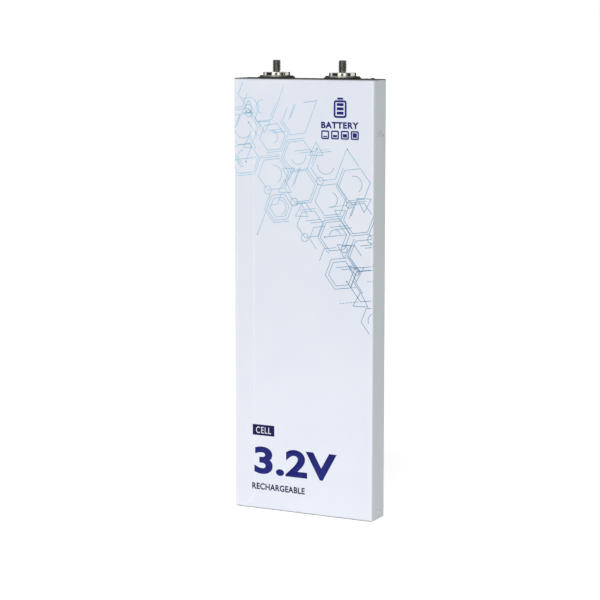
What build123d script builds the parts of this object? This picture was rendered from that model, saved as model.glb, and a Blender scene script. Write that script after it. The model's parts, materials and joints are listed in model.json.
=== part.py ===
"""Flat lithium iron phosphate cell: a laminated pouch inside a hard case with two M6 stud terminals.

Millimetres. The origin is the centre of the base, +Z points up, +X runs along the width and
the printed face looks towards -Y. The negative terminal is at -X and the positive one at +X.
"""

import os

from build123d import *

os.makedirs("parts", exist_ok=True)


# ---------------------------------------------------------------- driving dimensions
# whole cell
CELL_WIDTH = 106.0
CELL_THICKNESS = 20.0
CELL_HEIGHT = 300.0  # base to the top of the lid, without the studs
EDGE_RADIUS = 0.9  # upright edges of the case
TERMINAL_SPACING = 50.0
STUD_TOP = 312.3

# skins
FILM = 0.1
LABEL = 0.1
BASE_SHEET = 0.25

# hard case
CASE_WALL = 0.6
CASE_FLOOR = 0.8
CASE_WIDTH = CELL_WIDTH - 2 * (FILM + LABEL)
CASE_THICKNESS = CELL_THICKNESS - 2 * (FILM + LABEL)
INNER_WIDTH = CASE_WIDTH - 2 * CASE_WALL
INNER_THICKNESS = CASE_THICKNESS - 2 * CASE_WALL
INNER_RADIUS = EDGE_RADIUS - CASE_WALL
INNER_FLOOR = BASE_SHEET + CASE_FLOOR

# lid
LID_PLATE = 2.0
LID_UNDERSIDE = CELL_HEIGHT - LID_PLATE
SKIRT_DEPTH = 6.0
SKIRT_BOTTOM = LID_UNDERSIDE - SKIRT_DEPTH

# M6 terminal hardware, from the lid's top up and from its underside down
STUD_RADIUS = 3.0
STUD_HOLE_RADIUS = 3.2
NECK = 8.0  # square neck that stops the stud turning
SEAT_THICKNESS = 0.9
CONTACT_THICKNESS = 1.0
FLANGE_THICKNESS = 2.2
BRACKET = 1.0
LOCK_WASHER = 1.5
NUT_HEIGHT = 3.2
SEAT_TOP = CELL_HEIGHT + SEAT_THICKNESS
CONTACT_TOP = SEAT_TOP + CONTACT_THICKNESS
BRACKET_UNDERSIDE = LID_UNDERSIDE - BRACKET
WASHER_UNDERSIDE = BRACKET_UNDERSIDE - LOCK_WASHER
NUT_UNDERSIDE = WASHER_UNDERSIDE - NUT_HEIGHT
TERMINALS = {"negative": -TERMINAL_SPACING / 2, "positive": TERMINAL_SPACING / 2}

# electrode stack, from the front: separator, anode, separator, cathode and so on, ending with an anode
CATHODE_COUNT = 48
ANODE_COUNT = CATHODE_COUNT + 1
CATHODE_THICKNESS = 0.155
ANODE_THICKNESS = 0.105
SEPARATOR_THICKNESS = 0.016
STACK_THICKNESS = (
    CATHODE_COUNT * CATHODE_THICKNESS
    + ANODE_COUNT * ANODE_THICKNESS
    + (CATHODE_COUNT + ANODE_COUNT + 1) * SEPARATOR_THICKNESS
)
SEPARATOR_REACH = 48.5  # from the middle out to each fold
SEPARATOR_BOTTOM = 6.0
SEPARATOR_TOP = 258.0

# laminated pouch, in two halves that meet on the middle plane
LAMINATE = 0.15
CUP_DEPTH = 7.4
CUP_WIDTH = 97.9
CUP_BOTTOM = 5.05
CUP_TOP = 269.15
SEAL_WIDTH = 103.8
SEAL_BOTTOM = 4.0
SEAL_TOP = 279.0

# tabs
TAB_WIDTH = 30.0
TAB_THICKNESS = 0.4
TAB_FILM = 0.1
TAB_FILM_WIDTH = 34.0
WINDOW_BOTTOM = CUP_TOP - LAMINATE  # openings in the pouch's top seal that the tabs leave by


# ---------------------------------------------------------------- case
CASE_FOOT_RADIUS = 0.4

with BuildPart() as case:
    with BuildSketch(Plane.XY.offset(BASE_SHEET)):
        RectangleRounded(CASE_WIDTH, CASE_THICKNESS, EDGE_RADIUS)
    extrude(amount=LID_UNDERSIDE - BASE_SHEET)
    fillet(case.faces().sort_by(Axis.Z)[0].edges(), radius=CASE_FOOT_RADIUS)
    with BuildSketch(Plane.XY.offset(INNER_FLOOR)):
        RectangleRounded(INNER_WIDTH, INNER_THICKNESS, INNER_RADIUS)
    extrude(amount=LID_UNDERSIDE - INNER_FLOOR, mode=Mode.SUBTRACT)
case.part.label = "case"
export_step(case.part, "parts/case.step")


# ---------------------------------------------------------------- film, label and base sheet
FILM_BOTTOM = 0.7
FILM_TOP = 299.5
FILM_WIDTH = CASE_WIDTH + 2 * FILM
FILM_THICKNESS = CASE_THICKNESS + 2 * FILM
FILM_RADIUS = EDGE_RADIUS + FILM
FLAP_INSET = 0.9  # the flap stops this far short of the film's ends
FLAP_LEFT = -50.4
FLAP_RIGHT = -38.0
FLAP_CUT_WIDTH = 6.5
FLAP_CUT_HEIGHT = 9.0


def flap_outline(grow=0.0):
    """Outline of the film's overlap flap in X and Z, with its two cut corners, grown by some distance."""
    left = FLAP_LEFT - grow
    right = FLAP_RIGHT + grow
    low = FILM_BOTTOM + FLAP_INSET - grow
    high = FILM_TOP - FLAP_INSET + grow
    return [
        (left, low),
        (right - FLAP_CUT_WIDTH, low),
        (right, low + FLAP_CUT_HEIGHT),
        (right, high - FLAP_CUT_HEIGHT),
        (right - FLAP_CUT_WIDTH, high),
        (left, high),
    ]


with BuildPart() as wrap_film:
    with BuildSketch(Plane.XY.offset(FILM_BOTTOM)):
        RectangleRounded(FILM_WIDTH, FILM_THICKNESS, FILM_RADIUS)
        RectangleRounded(CASE_WIDTH, CASE_THICKNESS, EDGE_RADIUS, mode=Mode.SUBTRACT)
    extrude(amount=FILM_TOP - FILM_BOTTOM)
    with BuildSketch(Plane.XZ.offset(FILM_THICKNESS / 2)):
        with BuildLine():
            Polyline(*flap_outline(), close=True)
        make_face()
    extrude(amount=FILM)
wrap_film.part.label = "wrap_film"
export_step(wrap_film.part, "parts/wrap_film.step")

LABEL_INSET = 0.4  # the label stops this far short of the film's ends
LABEL_BOTTOM = FILM_BOTTOM + LABEL_INSET
LABEL_TOP = FILM_TOP - LABEL_INSET
LABEL_LEG = 3.2  # how far the label reaches back round each upright edge
LABEL_BRIDGE = 0.3  # how far the label stands off the flap's edge before it lies flat again

with BuildPart() as face_label:
    with BuildSketch(Plane.XY.offset(LABEL_BOTTOM)):
        RectangleRounded(CELL_WIDTH, CELL_THICKNESS, FILM_RADIUS + LABEL)
        RectangleRounded(FILM_WIDTH, FILM_THICKNESS, FILM_RADIUS, mode=Mode.SUBTRACT)
        with Locations((0, LABEL_LEG)):
            Rectangle(2 * CELL_WIDTH, CELL_THICKNESS, mode=Mode.SUBTRACT)
    extrude(amount=LABEL_TOP - LABEL_BOTTOM)
    with BuildSketch(Plane.XZ.offset(FILM_THICKNESS / 2)):
        with BuildLine():
            Polyline(*flap_outline(), close=True)
        make_face()
    extrude(amount=FILM, mode=Mode.SUBTRACT)
    with BuildSketch(Plane.XZ.offset(FILM_THICKNESS / 2 + FILM)):
        with BuildLine():
            Polyline(*flap_outline(grow=LABEL_BRIDGE), close=True)
        make_face()
    extrude(amount=LABEL)
face_label.part.label = "face_label"
export_step(face_label.part, "parts/face_label.step")

BASE_SHEET_INSET = 0.6

with BuildPart() as base_sheet:
    with BuildSketch():
        RectangleRounded(
            CASE_WIDTH - 2 * BASE_SHEET_INSET,
            CASE_THICKNESS - 2 * BASE_SHEET_INSET,
            EDGE_RADIUS - BASE_SHEET_INSET,
        )
    extrude(amount=BASE_SHEET)
base_sheet.part.label = "base_sheet"
export_step(base_sheet.part, "parts/base_sheet.step")


# ---------------------------------------------------------------- lid
LID_EDGE_RADIUS = 0.4
SKIRT_GAP = 0.1
SKIRT_WALL = 1.4
SKIRT_INNER_RADIUS = 0.6
SKIRT_WIDTH = INNER_WIDTH - 2 * SKIRT_GAP
SKIRT_THICKNESS = INNER_THICKNESS - 2 * SKIRT_GAP
SEAL_DEPTH = 0.7
SEAL_HEIGHT = 1.2
SEAL_BELOW_PLATE = 0.4
SEAL_FLOOR = LID_UNDERSIDE - SEAL_BELOW_PLATE - SEAL_HEIGHT
O_RING_RADIUS = 3.9
O_RING_SECTION = 0.55
O_RING_POCKET_RADIUS = 4.8
VENT_HOLE_RADIUS = 5.0
VENT_SEAT_RADIUS = 7.0
VENT_SEAT_DEPTH = 0.6
PLUG_X = 47.4
PLUG_HOLE_RADIUS = 1.7
MARK_HEIGHT = 0.35
MARK_STROKE = 1.9
PLUS_X = 41.8
PLUS_SIZE = 5.4
MINUS_X = -43.6
MINUS_SIZE = 7.4


def seal_section():
    """Ring between the case's wall and the bottom of the groove in the lid's skirt."""
    RectangleRounded(INNER_WIDTH, INNER_THICKNESS, INNER_RADIUS)
    RectangleRounded(
        SKIRT_WIDTH - 2 * SEAL_DEPTH,
        SKIRT_THICKNESS - 2 * SEAL_DEPTH,
        SKIRT_INNER_RADIUS,
        mode=Mode.SUBTRACT,
    )


with BuildPart() as lid:
    with BuildSketch(Plane.XY.offset(LID_UNDERSIDE)):
        RectangleRounded(CASE_WIDTH, CASE_THICKNESS, EDGE_RADIUS)
    extrude(amount=LID_PLATE)
    fillet(lid.faces().sort_by(Axis.Z)[-1].edges(), radius=LID_EDGE_RADIUS)
    with BuildSketch(Plane.XY.offset(SKIRT_BOTTOM)):
        RectangleRounded(SKIRT_WIDTH, SKIRT_THICKNESS, INNER_RADIUS - SKIRT_GAP)
        RectangleRounded(
            SKIRT_WIDTH - 2 * SKIRT_WALL,
            SKIRT_THICKNESS - 2 * SKIRT_WALL,
            SKIRT_INNER_RADIUS,
            mode=Mode.SUBTRACT,
        )
    extrude(amount=SKIRT_DEPTH)
    with BuildSketch(Plane.XY.offset(SEAL_FLOOR)):
        seal_section()
    extrude(amount=SEAL_HEIGHT, mode=Mode.SUBTRACT)
    with Locations(*[(x, 0, CELL_HEIGHT) for x in TERMINALS.values()]):
        CounterBoreHole(STUD_HOLE_RADIUS, O_RING_POCKET_RADIUS, 2 * O_RING_SECTION, depth=LID_PLATE)
    with Locations((0, 0, CELL_HEIGHT)):
        CounterBoreHole(VENT_HOLE_RADIUS, VENT_SEAT_RADIUS, VENT_SEAT_DEPTH, depth=LID_PLATE)
    with Locations((PLUG_X, 0, CELL_HEIGHT)):
        Hole(PLUG_HOLE_RADIUS, depth=LID_PLATE)
    with BuildSketch(Plane.XY.offset(CELL_HEIGHT)):
        with Locations((PLUS_X, 0)):
            Rectangle(PLUS_SIZE, MARK_STROKE)
            Rectangle(MARK_STROKE, PLUS_SIZE)
        with Locations((MINUS_X, 0)):
            Rectangle(MINUS_SIZE, MARK_STROKE)
    extrude(amount=MARK_HEIGHT)
lid.part.label = "lid"
export_step(lid.part, "parts/lid.step")

with BuildPart() as lid_seal:
    with BuildSketch(Plane.XY.offset(SEAL_FLOOR)):
        seal_section()
    extrude(amount=SEAL_HEIGHT)
lid_seal.part.label = "lid_seal"
export_step(lid_seal.part, "parts/lid_seal.step")


# ---------------------------------------------------------------- safety vent and port plug
VENT_DISC = 0.15
VENT_DISC_BOTTOM = CELL_HEIGHT - VENT_SEAT_DEPTH
VENT_DISC_CLEARANCE = 0.15
SCORE_WIDTH = 0.35
SCORE_DEPTH = 0.07
SCORE_LENGTH = 8.6

with BuildPart() as vent_disc:
    with BuildSketch(Plane.XY.offset(VENT_DISC_BOTTOM)):
        Circle(VENT_SEAT_RADIUS - VENT_DISC_CLEARANCE)
    extrude(amount=VENT_DISC)
    with BuildSketch(Plane.XY.offset(VENT_DISC_BOTTOM + VENT_DISC)):
        for turn in (45, 135):
            Rectangle(SCORE_LENGTH, SCORE_WIDTH, rotation=turn)
    extrude(amount=-SCORE_DEPTH, mode=Mode.SUBTRACT)
vent_disc.part.label = "vent_disc"
export_step(vent_disc.part, "parts/vent_disc.step")

VENT_RING_CLEARANCE = 0.1
VENT_RING_CHAMFER = 0.12

with BuildPart() as vent_ring:
    with BuildSketch(Plane.XY.offset(VENT_DISC_BOTTOM + VENT_DISC)):
        Circle(VENT_SEAT_RADIUS - VENT_RING_CLEARANCE)
        Circle(VENT_HOLE_RADIUS, mode=Mode.SUBTRACT)
    extrude(amount=VENT_SEAT_DEPTH - VENT_DISC)
    chamfer(vent_ring.faces().sort_by(Axis.Z)[-1].edges(), length=VENT_RING_CHAMFER)
vent_ring.part.label = "vent_ring"
export_step(vent_ring.part, "parts/vent_ring.step")

PLUG_DOME_RADIUS = 2.3
PLUG_DOME_HEIGHT = 0.9
PLUG_SHANK_RADIUS = 1.65
PLUG_SHOULDER = LID_UNDERSIDE - 0.05
PLUG_BARB_RADIUS = 2.05
PLUG_TIP_RADIUS = 1.2
PLUG_TIP = PLUG_SHOULDER - 1.4

with BuildPart() as port_plug:
    with BuildSketch(Plane(origin=(PLUG_X, 0, 0), x_dir=(1, 0, 0), z_dir=(0, -1, 0))):
        with BuildLine():
            dome_crown = (0, CELL_HEIGHT + PLUG_DOME_HEIGHT)
            dome_rim = (PLUG_DOME_RADIUS, CELL_HEIGHT)
            RadiusArc(dome_crown, dome_rim, (PLUG_DOME_RADIUS**2 / PLUG_DOME_HEIGHT + PLUG_DOME_HEIGHT) / 2)
            Polyline(
                dome_rim,
                (PLUG_SHANK_RADIUS, CELL_HEIGHT),
                (PLUG_SHANK_RADIUS, PLUG_SHOULDER),
                (PLUG_BARB_RADIUS, PLUG_SHOULDER),
                (PLUG_TIP_RADIUS, PLUG_TIP),
                (0, PLUG_TIP),
                dome_crown,
            )
        make_face()
    revolve(axis=Axis((PLUG_X, 0, 0), (0, 0, 1)))
port_plug.part.label = "port_plug"
export_step(port_plug.part, "parts/port_plug.step")


# ---------------------------------------------------------------- terminal hardware, one set at each end
SEAT_LENGTH = 26.0
SEAT_WIDTH = 18.8
SEAT_EDGE_RADIUS = 0.12
LUG_REACH = 12.2  # how far out from the stud's axis the seat's two raised lugs go
LUG_WIDTH = 3.2
LUG_HEIGHT = 0.9
NECK_CLEARANCE = 0.1
CONTACT_RADIUS = 9.4
CONTACT_CHAMFER = 0.15
FLANGE_RADIUS = 9.2
FLANGE_CHAMFER = 0.35
STUD_CHAMFER = 0.5
STUD_BELOW_NUT = 1.0
BRACKET_WIDTH = 24.0
BRACKET_FRONT = -6.5
LEG_Y = 6.6  # centre of the bracket's upright leg
LEG_BOTTOM = 289.0
LOCK_WASHER_RADIUS = 5.5
LOCK_WASHER_BORE = 3.15
LOCK_WASHER_SPLIT = 1.0
LOCK_WASHER_SLANT = 12
NUT_ACROSS_FLATS = 10.0
NUT_BORE = 3.02
TAB_BOTTOM = 265.2
TAB_BEND_LOW = 282.6  # the tab leaves the middle plane here
TAB_BEND_HIGH = 287.2  # and from here up it lies against the bracket's leg
TAB_BEND_RADIUS = 1.5
TAB_TOP = BRACKET_UNDERSIDE - 0.2
TAB_FILM_SHOWING = 0.8


def level(x, z):
    """A level work plane at height z whose origin is on a terminal's axis."""
    return Plane(origin=(x, 0, z))


for side, x in TERMINALS.items():
    with BuildPart() as seat:
        with BuildSketch(level(x, CELL_HEIGHT)):
            SlotOverall(SEAT_LENGTH, SEAT_WIDTH)
            Rectangle(NECK + NECK_CLEARANCE, NECK + NECK_CLEARANCE, mode=Mode.SUBTRACT)
        extrude(amount=SEAT_THICKNESS)
        with BuildSketch(level(x, SEAT_TOP)):
            Rectangle(2 * LUG_REACH, LUG_WIDTH)
            Circle(CONTACT_RADIUS + NECK_CLEARANCE, mode=Mode.SUBTRACT)
        extrude(amount=LUG_HEIGHT)
        fillet(seat.faces().group_by(Axis.Z)[-1].edges(), radius=SEAT_EDGE_RADIUS)
    seat.part.label = f"{side}_terminal_seat"
    export_step(seat.part, f"parts/{side}_terminal_seat.step")

    with BuildPart() as contact_plate:
        with BuildSketch(level(x, SEAT_TOP)):
            Circle(CONTACT_RADIUS)
            Rectangle(NECK + NECK_CLEARANCE, NECK + NECK_CLEARANCE, mode=Mode.SUBTRACT)
        extrude(amount=CONTACT_THICKNESS)
        chamfer(contact_plate.edges().filter_by(GeomType.CIRCLE), length=CONTACT_CHAMFER)
    contact_plate.part.label = f"{side}_contact_plate"
    export_step(contact_plate.part, f"parts/{side}_contact_plate.step")

    with BuildPart() as stud:
        with BuildSketch(level(x, CONTACT_TOP)):
            Circle(FLANGE_RADIUS)
        extrude(amount=FLANGE_THICKNESS)
        chamfer(stud.faces().sort_by(Axis.Z)[-1].edges(), length=FLANGE_CHAMFER)
        with BuildSketch(level(x, CELL_HEIGHT)):
            Rectangle(NECK, NECK)
        extrude(amount=CONTACT_TOP - CELL_HEIGHT)
        with BuildSketch(level(x, NUT_UNDERSIDE - STUD_BELOW_NUT)):
            Circle(STUD_RADIUS)
        extrude(until=Until.NEXT, target=stud.part)
        with BuildSketch(level(x, CONTACT_TOP)):
            Circle(STUD_RADIUS)
        extrude(amount=STUD_TOP - CONTACT_TOP)
        round_edges = stud.edges().filter_by(GeomType.CIRCLE).group_by(Axis.Z)
        chamfer([round_edges[0], round_edges[-1]], length=STUD_CHAMFER)
    stud.part.label = f"{side}_stud"
    export_step(stud.part, f"parts/{side}_stud.step")

    with BuildPart() as o_ring:
        with Locations((x, 0, CELL_HEIGHT - O_RING_SECTION)):
            Torus(O_RING_RADIUS, O_RING_SECTION)
    o_ring.part.label = f"{side}_o_ring"
    export_step(o_ring.part, f"parts/{side}_o_ring.step")

    with BuildPart() as bracket:
        with BuildSketch(Plane.YZ.offset(x - BRACKET_WIDTH / 2)):
            with BuildLine():
                FilletPolyline(
                    (BRACKET_FRONT, LID_UNDERSIDE - BRACKET / 2),
                    (LEG_Y, LID_UNDERSIDE - BRACKET / 2),
                    (LEG_Y, LEG_BOTTOM),
                    radius=BRACKET,
                )
            trace(line_width=BRACKET)
        extrude(amount=BRACKET_WIDTH)
        with Locations((x, 0, LID_UNDERSIDE)):
            Hole(STUD_HOLE_RADIUS, depth=2 * BRACKET)
    bracket.part.label = f"{side}_bracket"
    export_step(bracket.part, f"parts/{side}_bracket.step")

    with BuildPart() as lock_washer:
        with BuildSketch(level(x, WASHER_UNDERSIDE)):
            Circle(LOCK_WASHER_RADIUS)
            Circle(LOCK_WASHER_BORE, mode=Mode.SUBTRACT)
            with Locations((LOCK_WASHER_RADIUS, 0)):
                Rectangle(
                    2 * LOCK_WASHER_RADIUS,
                    LOCK_WASHER_SPLIT,
                    rotation=LOCK_WASHER_SLANT,
                    mode=Mode.SUBTRACT,
                )
        extrude(amount=LOCK_WASHER)
    lock_washer.part.label = f"{side}_lock_washer"
    export_step(lock_washer.part, f"parts/{side}_lock_washer.step")

    with BuildPart() as clamp_nut:
        with BuildSketch(level(x, NUT_UNDERSIDE)):
            RegularPolygon(NUT_ACROSS_FLATS / 2, side_count=6, major_radius=False)
            Circle(NUT_BORE, mode=Mode.SUBTRACT)
        extrude(amount=NUT_HEIGHT)
    clamp_nut.part.label = f"{side}_clamp_nut"
    export_step(clamp_nut.part, f"parts/{side}_clamp_nut.step")

    with BuildPart() as tab:
        weld_y = LEG_Y + BRACKET / 2 + TAB_THICKNESS / 2
        with BuildSketch(Plane.YZ.offset(x - TAB_WIDTH / 2)):
            with BuildLine():
                FilletPolyline(
                    (0, TAB_BOTTOM),
                    (0, TAB_BEND_LOW),
                    (weld_y, TAB_BEND_HIGH),
                    (weld_y, TAB_TOP),
                    radius=TAB_BEND_RADIUS,
                )
            trace(line_width=TAB_THICKNESS)
        extrude(amount=TAB_WIDTH)
    tab.part.label = f"{side}_tab"
    export_step(tab.part, f"parts/{side}_tab.step")

    with BuildPart() as tab_film:
        with BuildSketch(level(x, WINDOW_BOTTOM)):
            Rectangle(TAB_FILM_WIDTH, TAB_THICKNESS + 2 * TAB_FILM)
            Rectangle(TAB_WIDTH, TAB_THICKNESS, mode=Mode.SUBTRACT)
        extrude(amount=SEAL_TOP + TAB_FILM_SHOWING - WINDOW_BOTTOM)
    tab_film.part.label = f"{side}_tab_film"
    export_step(tab_film.part, f"parts/{side}_tab_film.step")


# ---------------------------------------------------------------- laminated pouch
CUP_CORNER_RADIUS = 2.0
CUP_EDGE_RADIUS = 0.5
TOP_SEAL = 0.45  # thickness of each half at the top seal, sealant included
CUP_MIDDLE = (CUP_BOTTOM + CUP_TOP) / 2
CUP_HEIGHT = CUP_TOP - CUP_BOTTOM

with BuildPart() as pouch_front:
    with BuildSketch(Plane.XZ):
        with Locations((0, CUP_MIDDLE)):
            RectangleRounded(CUP_WIDTH, CUP_HEIGHT, CUP_CORNER_RADIUS)
    extrude(amount=CUP_DEPTH)
    fillet(pouch_front.faces().sort_by(Axis.Y)[0].edges(), radius=CUP_EDGE_RADIUS)
    with BuildSketch(Plane.XZ):
        with Locations((0, (SEAL_BOTTOM + SEAL_TOP) / 2)):
            Rectangle(SEAL_WIDTH, SEAL_TOP - SEAL_BOTTOM)
    extrude(amount=LAMINATE)
    with BuildSketch(Plane.XZ):
        with Locations((0, (CUP_TOP + SEAL_TOP) / 2)):
            Rectangle(SEAL_WIDTH, SEAL_TOP - CUP_TOP)
    extrude(amount=TOP_SEAL)
    with BuildSketch(Plane.XZ):
        with Locations((0, CUP_MIDDLE)):
            RectangleRounded(
                CUP_WIDTH - 2 * LAMINATE, CUP_HEIGHT - 2 * LAMINATE, CUP_CORNER_RADIUS - LAMINATE
            )
    extrude(amount=CUP_DEPTH - LAMINATE, mode=Mode.SUBTRACT)
    with BuildSketch(Plane.XZ):
        with Locations(*[(x, (WINDOW_BOTTOM + SEAL_TOP) / 2) for x in TERMINALS.values()]):
            Rectangle(TAB_FILM_WIDTH, SEAL_TOP - WINDOW_BOTTOM)
    extrude(amount=TAB_THICKNESS / 2 + TAB_FILM, mode=Mode.SUBTRACT)
pouch_front.part.label = "pouch_front"
export_step(pouch_front.part, "parts/pouch_front.step")

with BuildPart() as pouch_rear:
    mirror(pouch_front.part, about=Plane.XZ)
pouch_rear.part.label = "pouch_rear"
export_step(pouch_rear.part, "parts/pouch_rear.step")


# ---------------------------------------------------------------- electrode sheets
CATHODE_WIDTH = 93.0
CATHODE_BOTTOM = 9.0
CATHODE_TOP = 255.0
CATHODE_FOIL = 0.015
ANODE_WIDTH = 95.0
ANODE_BOTTOM = 8.0
ANODE_TOP = 256.0
ANODE_FOIL = 0.010
FOIL_WIDTH = 28.0
FOIL_GAP = 0.001
FOIL_STRAIGHT_TO = 259.0
FOIL_WELD_LOW = 265.0
FOIL_WELD_HIGH = 268.4


def stack_layers():
    """Y of every separator layer's centre and of every electrode sheet's centre, front to rear."""
    separators = []
    electrodes = []
    y = -STACK_THICKNESS / 2
    for layer in range(CATHODE_COUNT + ANODE_COUNT):
        separators.append(y + SEPARATOR_THICKNESS / 2)
        sheet = CATHODE_THICKNESS if layer % 2 else ANODE_THICKNESS
        electrodes.append(y + SEPARATOR_THICKNESS + sheet / 2)
        y += SEPARATOR_THICKNESS + sheet
    separators.append(y + SEPARATOR_THICKNESS / 2)
    return separators, electrodes


SEPARATOR_Y, ELECTRODE_Y = stack_layers()
ANODE_Y = ELECTRODE_Y[0::2]
CATHODE_Y = ELECTRODE_Y[1::2]


def foil_outline(y, sheet_top, place, foil):
    """Y and Z outline of one bare foil: up from its sheet, in towards the tab, then along the tab's face."""
    weld_y = -TAB_THICKNESS / 2 - (place + 0.5) * (foil + FOIL_GAP)
    path = [
        (y, sheet_top),
        (y, FOIL_STRAIGHT_TO),
        (weld_y, FOIL_WELD_LOW),
        (weld_y, FOIL_WELD_HIGH),
    ]
    front = [(along - foil / 2, up) for along, up in path]
    rear = [(along + foil / 2, up) for along, up in reversed(path)]
    return front + rear


with BuildPart() as cathode_sheets:
    with BuildSketch(Plane.XY.offset(CATHODE_BOTTOM)):
        with Locations(*[(0, y) for y in CATHODE_Y]):
            Rectangle(CATHODE_WIDTH, CATHODE_THICKNESS)
    extrude(amount=CATHODE_TOP - CATHODE_BOTTOM)
    with BuildSketch(Plane.YZ.offset(TERMINALS["positive"] - FOIL_WIDTH / 2)):
        for place, y in enumerate(reversed(CATHODE_Y)):
            with BuildLine():
                Polyline(*foil_outline(y, CATHODE_TOP, place, CATHODE_FOIL), close=True)
            make_face()
    extrude(amount=FOIL_WIDTH)
cathode_sheets.part.label = "cathode_sheets"
export_step(cathode_sheets.part, "parts/cathode_sheets.step")

with BuildPart() as anode_sheets:
    with BuildSketch(Plane.XY.offset(ANODE_BOTTOM)):
        with Locations(*[(0, y) for y in ANODE_Y]):
            Rectangle(ANODE_WIDTH, ANODE_THICKNESS)
    extrude(amount=ANODE_TOP - ANODE_BOTTOM)
    with BuildSketch(Plane.YZ.offset(TERMINALS["negative"] - FOIL_WIDTH / 2)):
        for place, y in enumerate(reversed(ANODE_Y)):
            with BuildLine():
                Polyline(*foil_outline(y, ANODE_TOP, place, ANODE_FOIL), close=True)
            make_face()
    extrude(amount=FOIL_WIDTH)
anode_sheets.part.label = "anode_sheets"
export_step(anode_sheets.part, "parts/anode_sheets.step")


# ---------------------------------------------------------------- separator and tapes
def zigzag_outline():
    """X and Y outline of the one separator ribbon, folded to and fro between the electrodes."""
    path = []
    for layer, y in enumerate(SEPARATOR_Y):
        start = -SEPARATOR_REACH if layer % 2 == 0 else SEPARATOR_REACH
        path += [Vector(start, y), Vector(-start, y)]
    steps = [end - begin for begin, end in zip(path, path[1:])]
    sideways = [Vector(-step.Y, step.X).normalized() * (SEPARATOR_THICKNESS / 2) for step in steps]
    corners = [before + after for before, after in zip(sideways, sideways[1:])]
    shifts = [sideways[0], *corners, sideways[-1]]
    one_side = [point + shift for point, shift in zip(path, shifts)]
    other_side = [point - shift for point, shift in zip(path, shifts)]
    return one_side + other_side[::-1]


with BuildPart() as separator:
    with BuildSketch(Plane.XY.offset(SEPARATOR_BOTTOM)):
        with BuildLine():
            Polyline(*zigzag_outline(), close=True)
        make_face()
    extrude(amount=SEPARATOR_TOP - SEPARATOR_BOTTOM)
separator.part.label = "separator"
export_step(separator.part, "parts/separator.step")

TAPE = 0.06
TAPE_WIDTH = 14.0
TAPE_HEIGHTS = (60.0, 190.0)
TAPE_OUT = SEPARATOR_REACH + SEPARATOR_THICKNESS / 2 + TAPE / 2
TAPE_IN = TAPE_OUT - 12.0
TAPE_Y = STACK_THICKNESS / 2 + TAPE / 2

with BuildPart() as stack_tapes:
    for height in TAPE_HEIGHTS:
        for end in (-1, 1):
            with BuildSketch(Plane.XY.offset(height)):
                with BuildLine():
                    Polyline(
                        (end * TAPE_IN, -TAPE_Y),
                        (end * TAPE_OUT, -TAPE_Y),
                        (end * TAPE_OUT, TAPE_Y),
                        (end * TAPE_IN, TAPE_Y),
                    )
                trace(line_width=TAPE)
            extrude(amount=TAPE_WIDTH)
stack_tapes.part.label = "stack_tapes"
export_step(stack_tapes.part, "parts/stack_tapes.step")


# ---------------------------------------------------------------- foam pads and spacer
PAD_WIDTH = 98.0
PAD_BOTTOM = 6.0
PAD_TOP = 268.0
PAD_CORNER_RADIUS = 3.0
PAD_GAP = 0.05
PAD_THICKNESS = INNER_THICKNESS / 2 - CUP_DEPTH - PAD_GAP

with BuildPart() as front_pad:
    with BuildSketch(Plane.XZ.offset(CUP_DEPTH)):
        with Locations((0, (PAD_BOTTOM + PAD_TOP) / 2)):
            RectangleRounded(PAD_WIDTH, PAD_TOP - PAD_BOTTOM, PAD_CORNER_RADIUS)
    extrude(amount=PAD_THICKNESS)
front_pad.part.label = "front_pad"
export_step(front_pad.part, "parts/front_pad.step")

with BuildPart() as rear_pad:
    mirror(front_pad.part, about=Plane.XZ)
rear_pad.part.label = "rear_pad"
export_step(rear_pad.part, "parts/rear_pad.step")

BASE_PAD_INSET = 0.5
BASE_PAD_RADIUS = 1.0

with BuildPart() as base_pad:
    with BuildSketch(Plane.XY.offset(INNER_FLOOR)):
        RectangleRounded(
            INNER_WIDTH - 2 * BASE_PAD_INSET, INNER_THICKNESS - 2 * BASE_PAD_INSET, BASE_PAD_RADIUS
        )
    extrude(amount=SEAL_BOTTOM - PAD_GAP - INNER_FLOOR)
base_pad.part.label = "base_pad"
export_step(base_pad.part, "parts/base_pad.step")

SPACER_BOTTOM = SEAL_TOP + 1.0
SPACER_PLATE = 2.0
SPACER_POST = 5.0
SPACER_RADIUS = 1.0
SPACER_WIDTH = INNER_WIDTH - 0.8
SPACER_THICKNESS = INNER_THICKNESS - 0.6
SLOT_LENGTH = TAB_WIDTH + 2.0
SLOT_WIDTH = 1.6

with BuildPart() as tab_spacer:
    with BuildSketch(Plane.XY.offset(SPACER_BOTTOM)):
        RectangleRounded(SPACER_WIDTH, SPACER_THICKNESS, SPACER_RADIUS)
        with Locations(*[(x, 0) for x in TERMINALS.values()]):
            Rectangle(SLOT_LENGTH, SLOT_WIDTH, mode=Mode.SUBTRACT)
    extrude(amount=SPACER_PLATE)
    with BuildSketch(Plane.XY.offset(SPACER_BOTTOM)):
        with GridLocations(SPACER_WIDTH - SPACER_POST, 0, 2, 1):
            RectangleRounded(SPACER_POST, SPACER_THICKNESS, SPACER_RADIUS)
    extrude(amount=SKIRT_BOTTOM - SPACER_BOTTOM)
tab_spacer.part.label = "tab_spacer"
export_step(tab_spacer.part, "parts/tab_spacer.step")
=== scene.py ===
import json
import math
import random

import bmesh
import bpy
from mathutils import Euler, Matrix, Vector, noise


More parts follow.
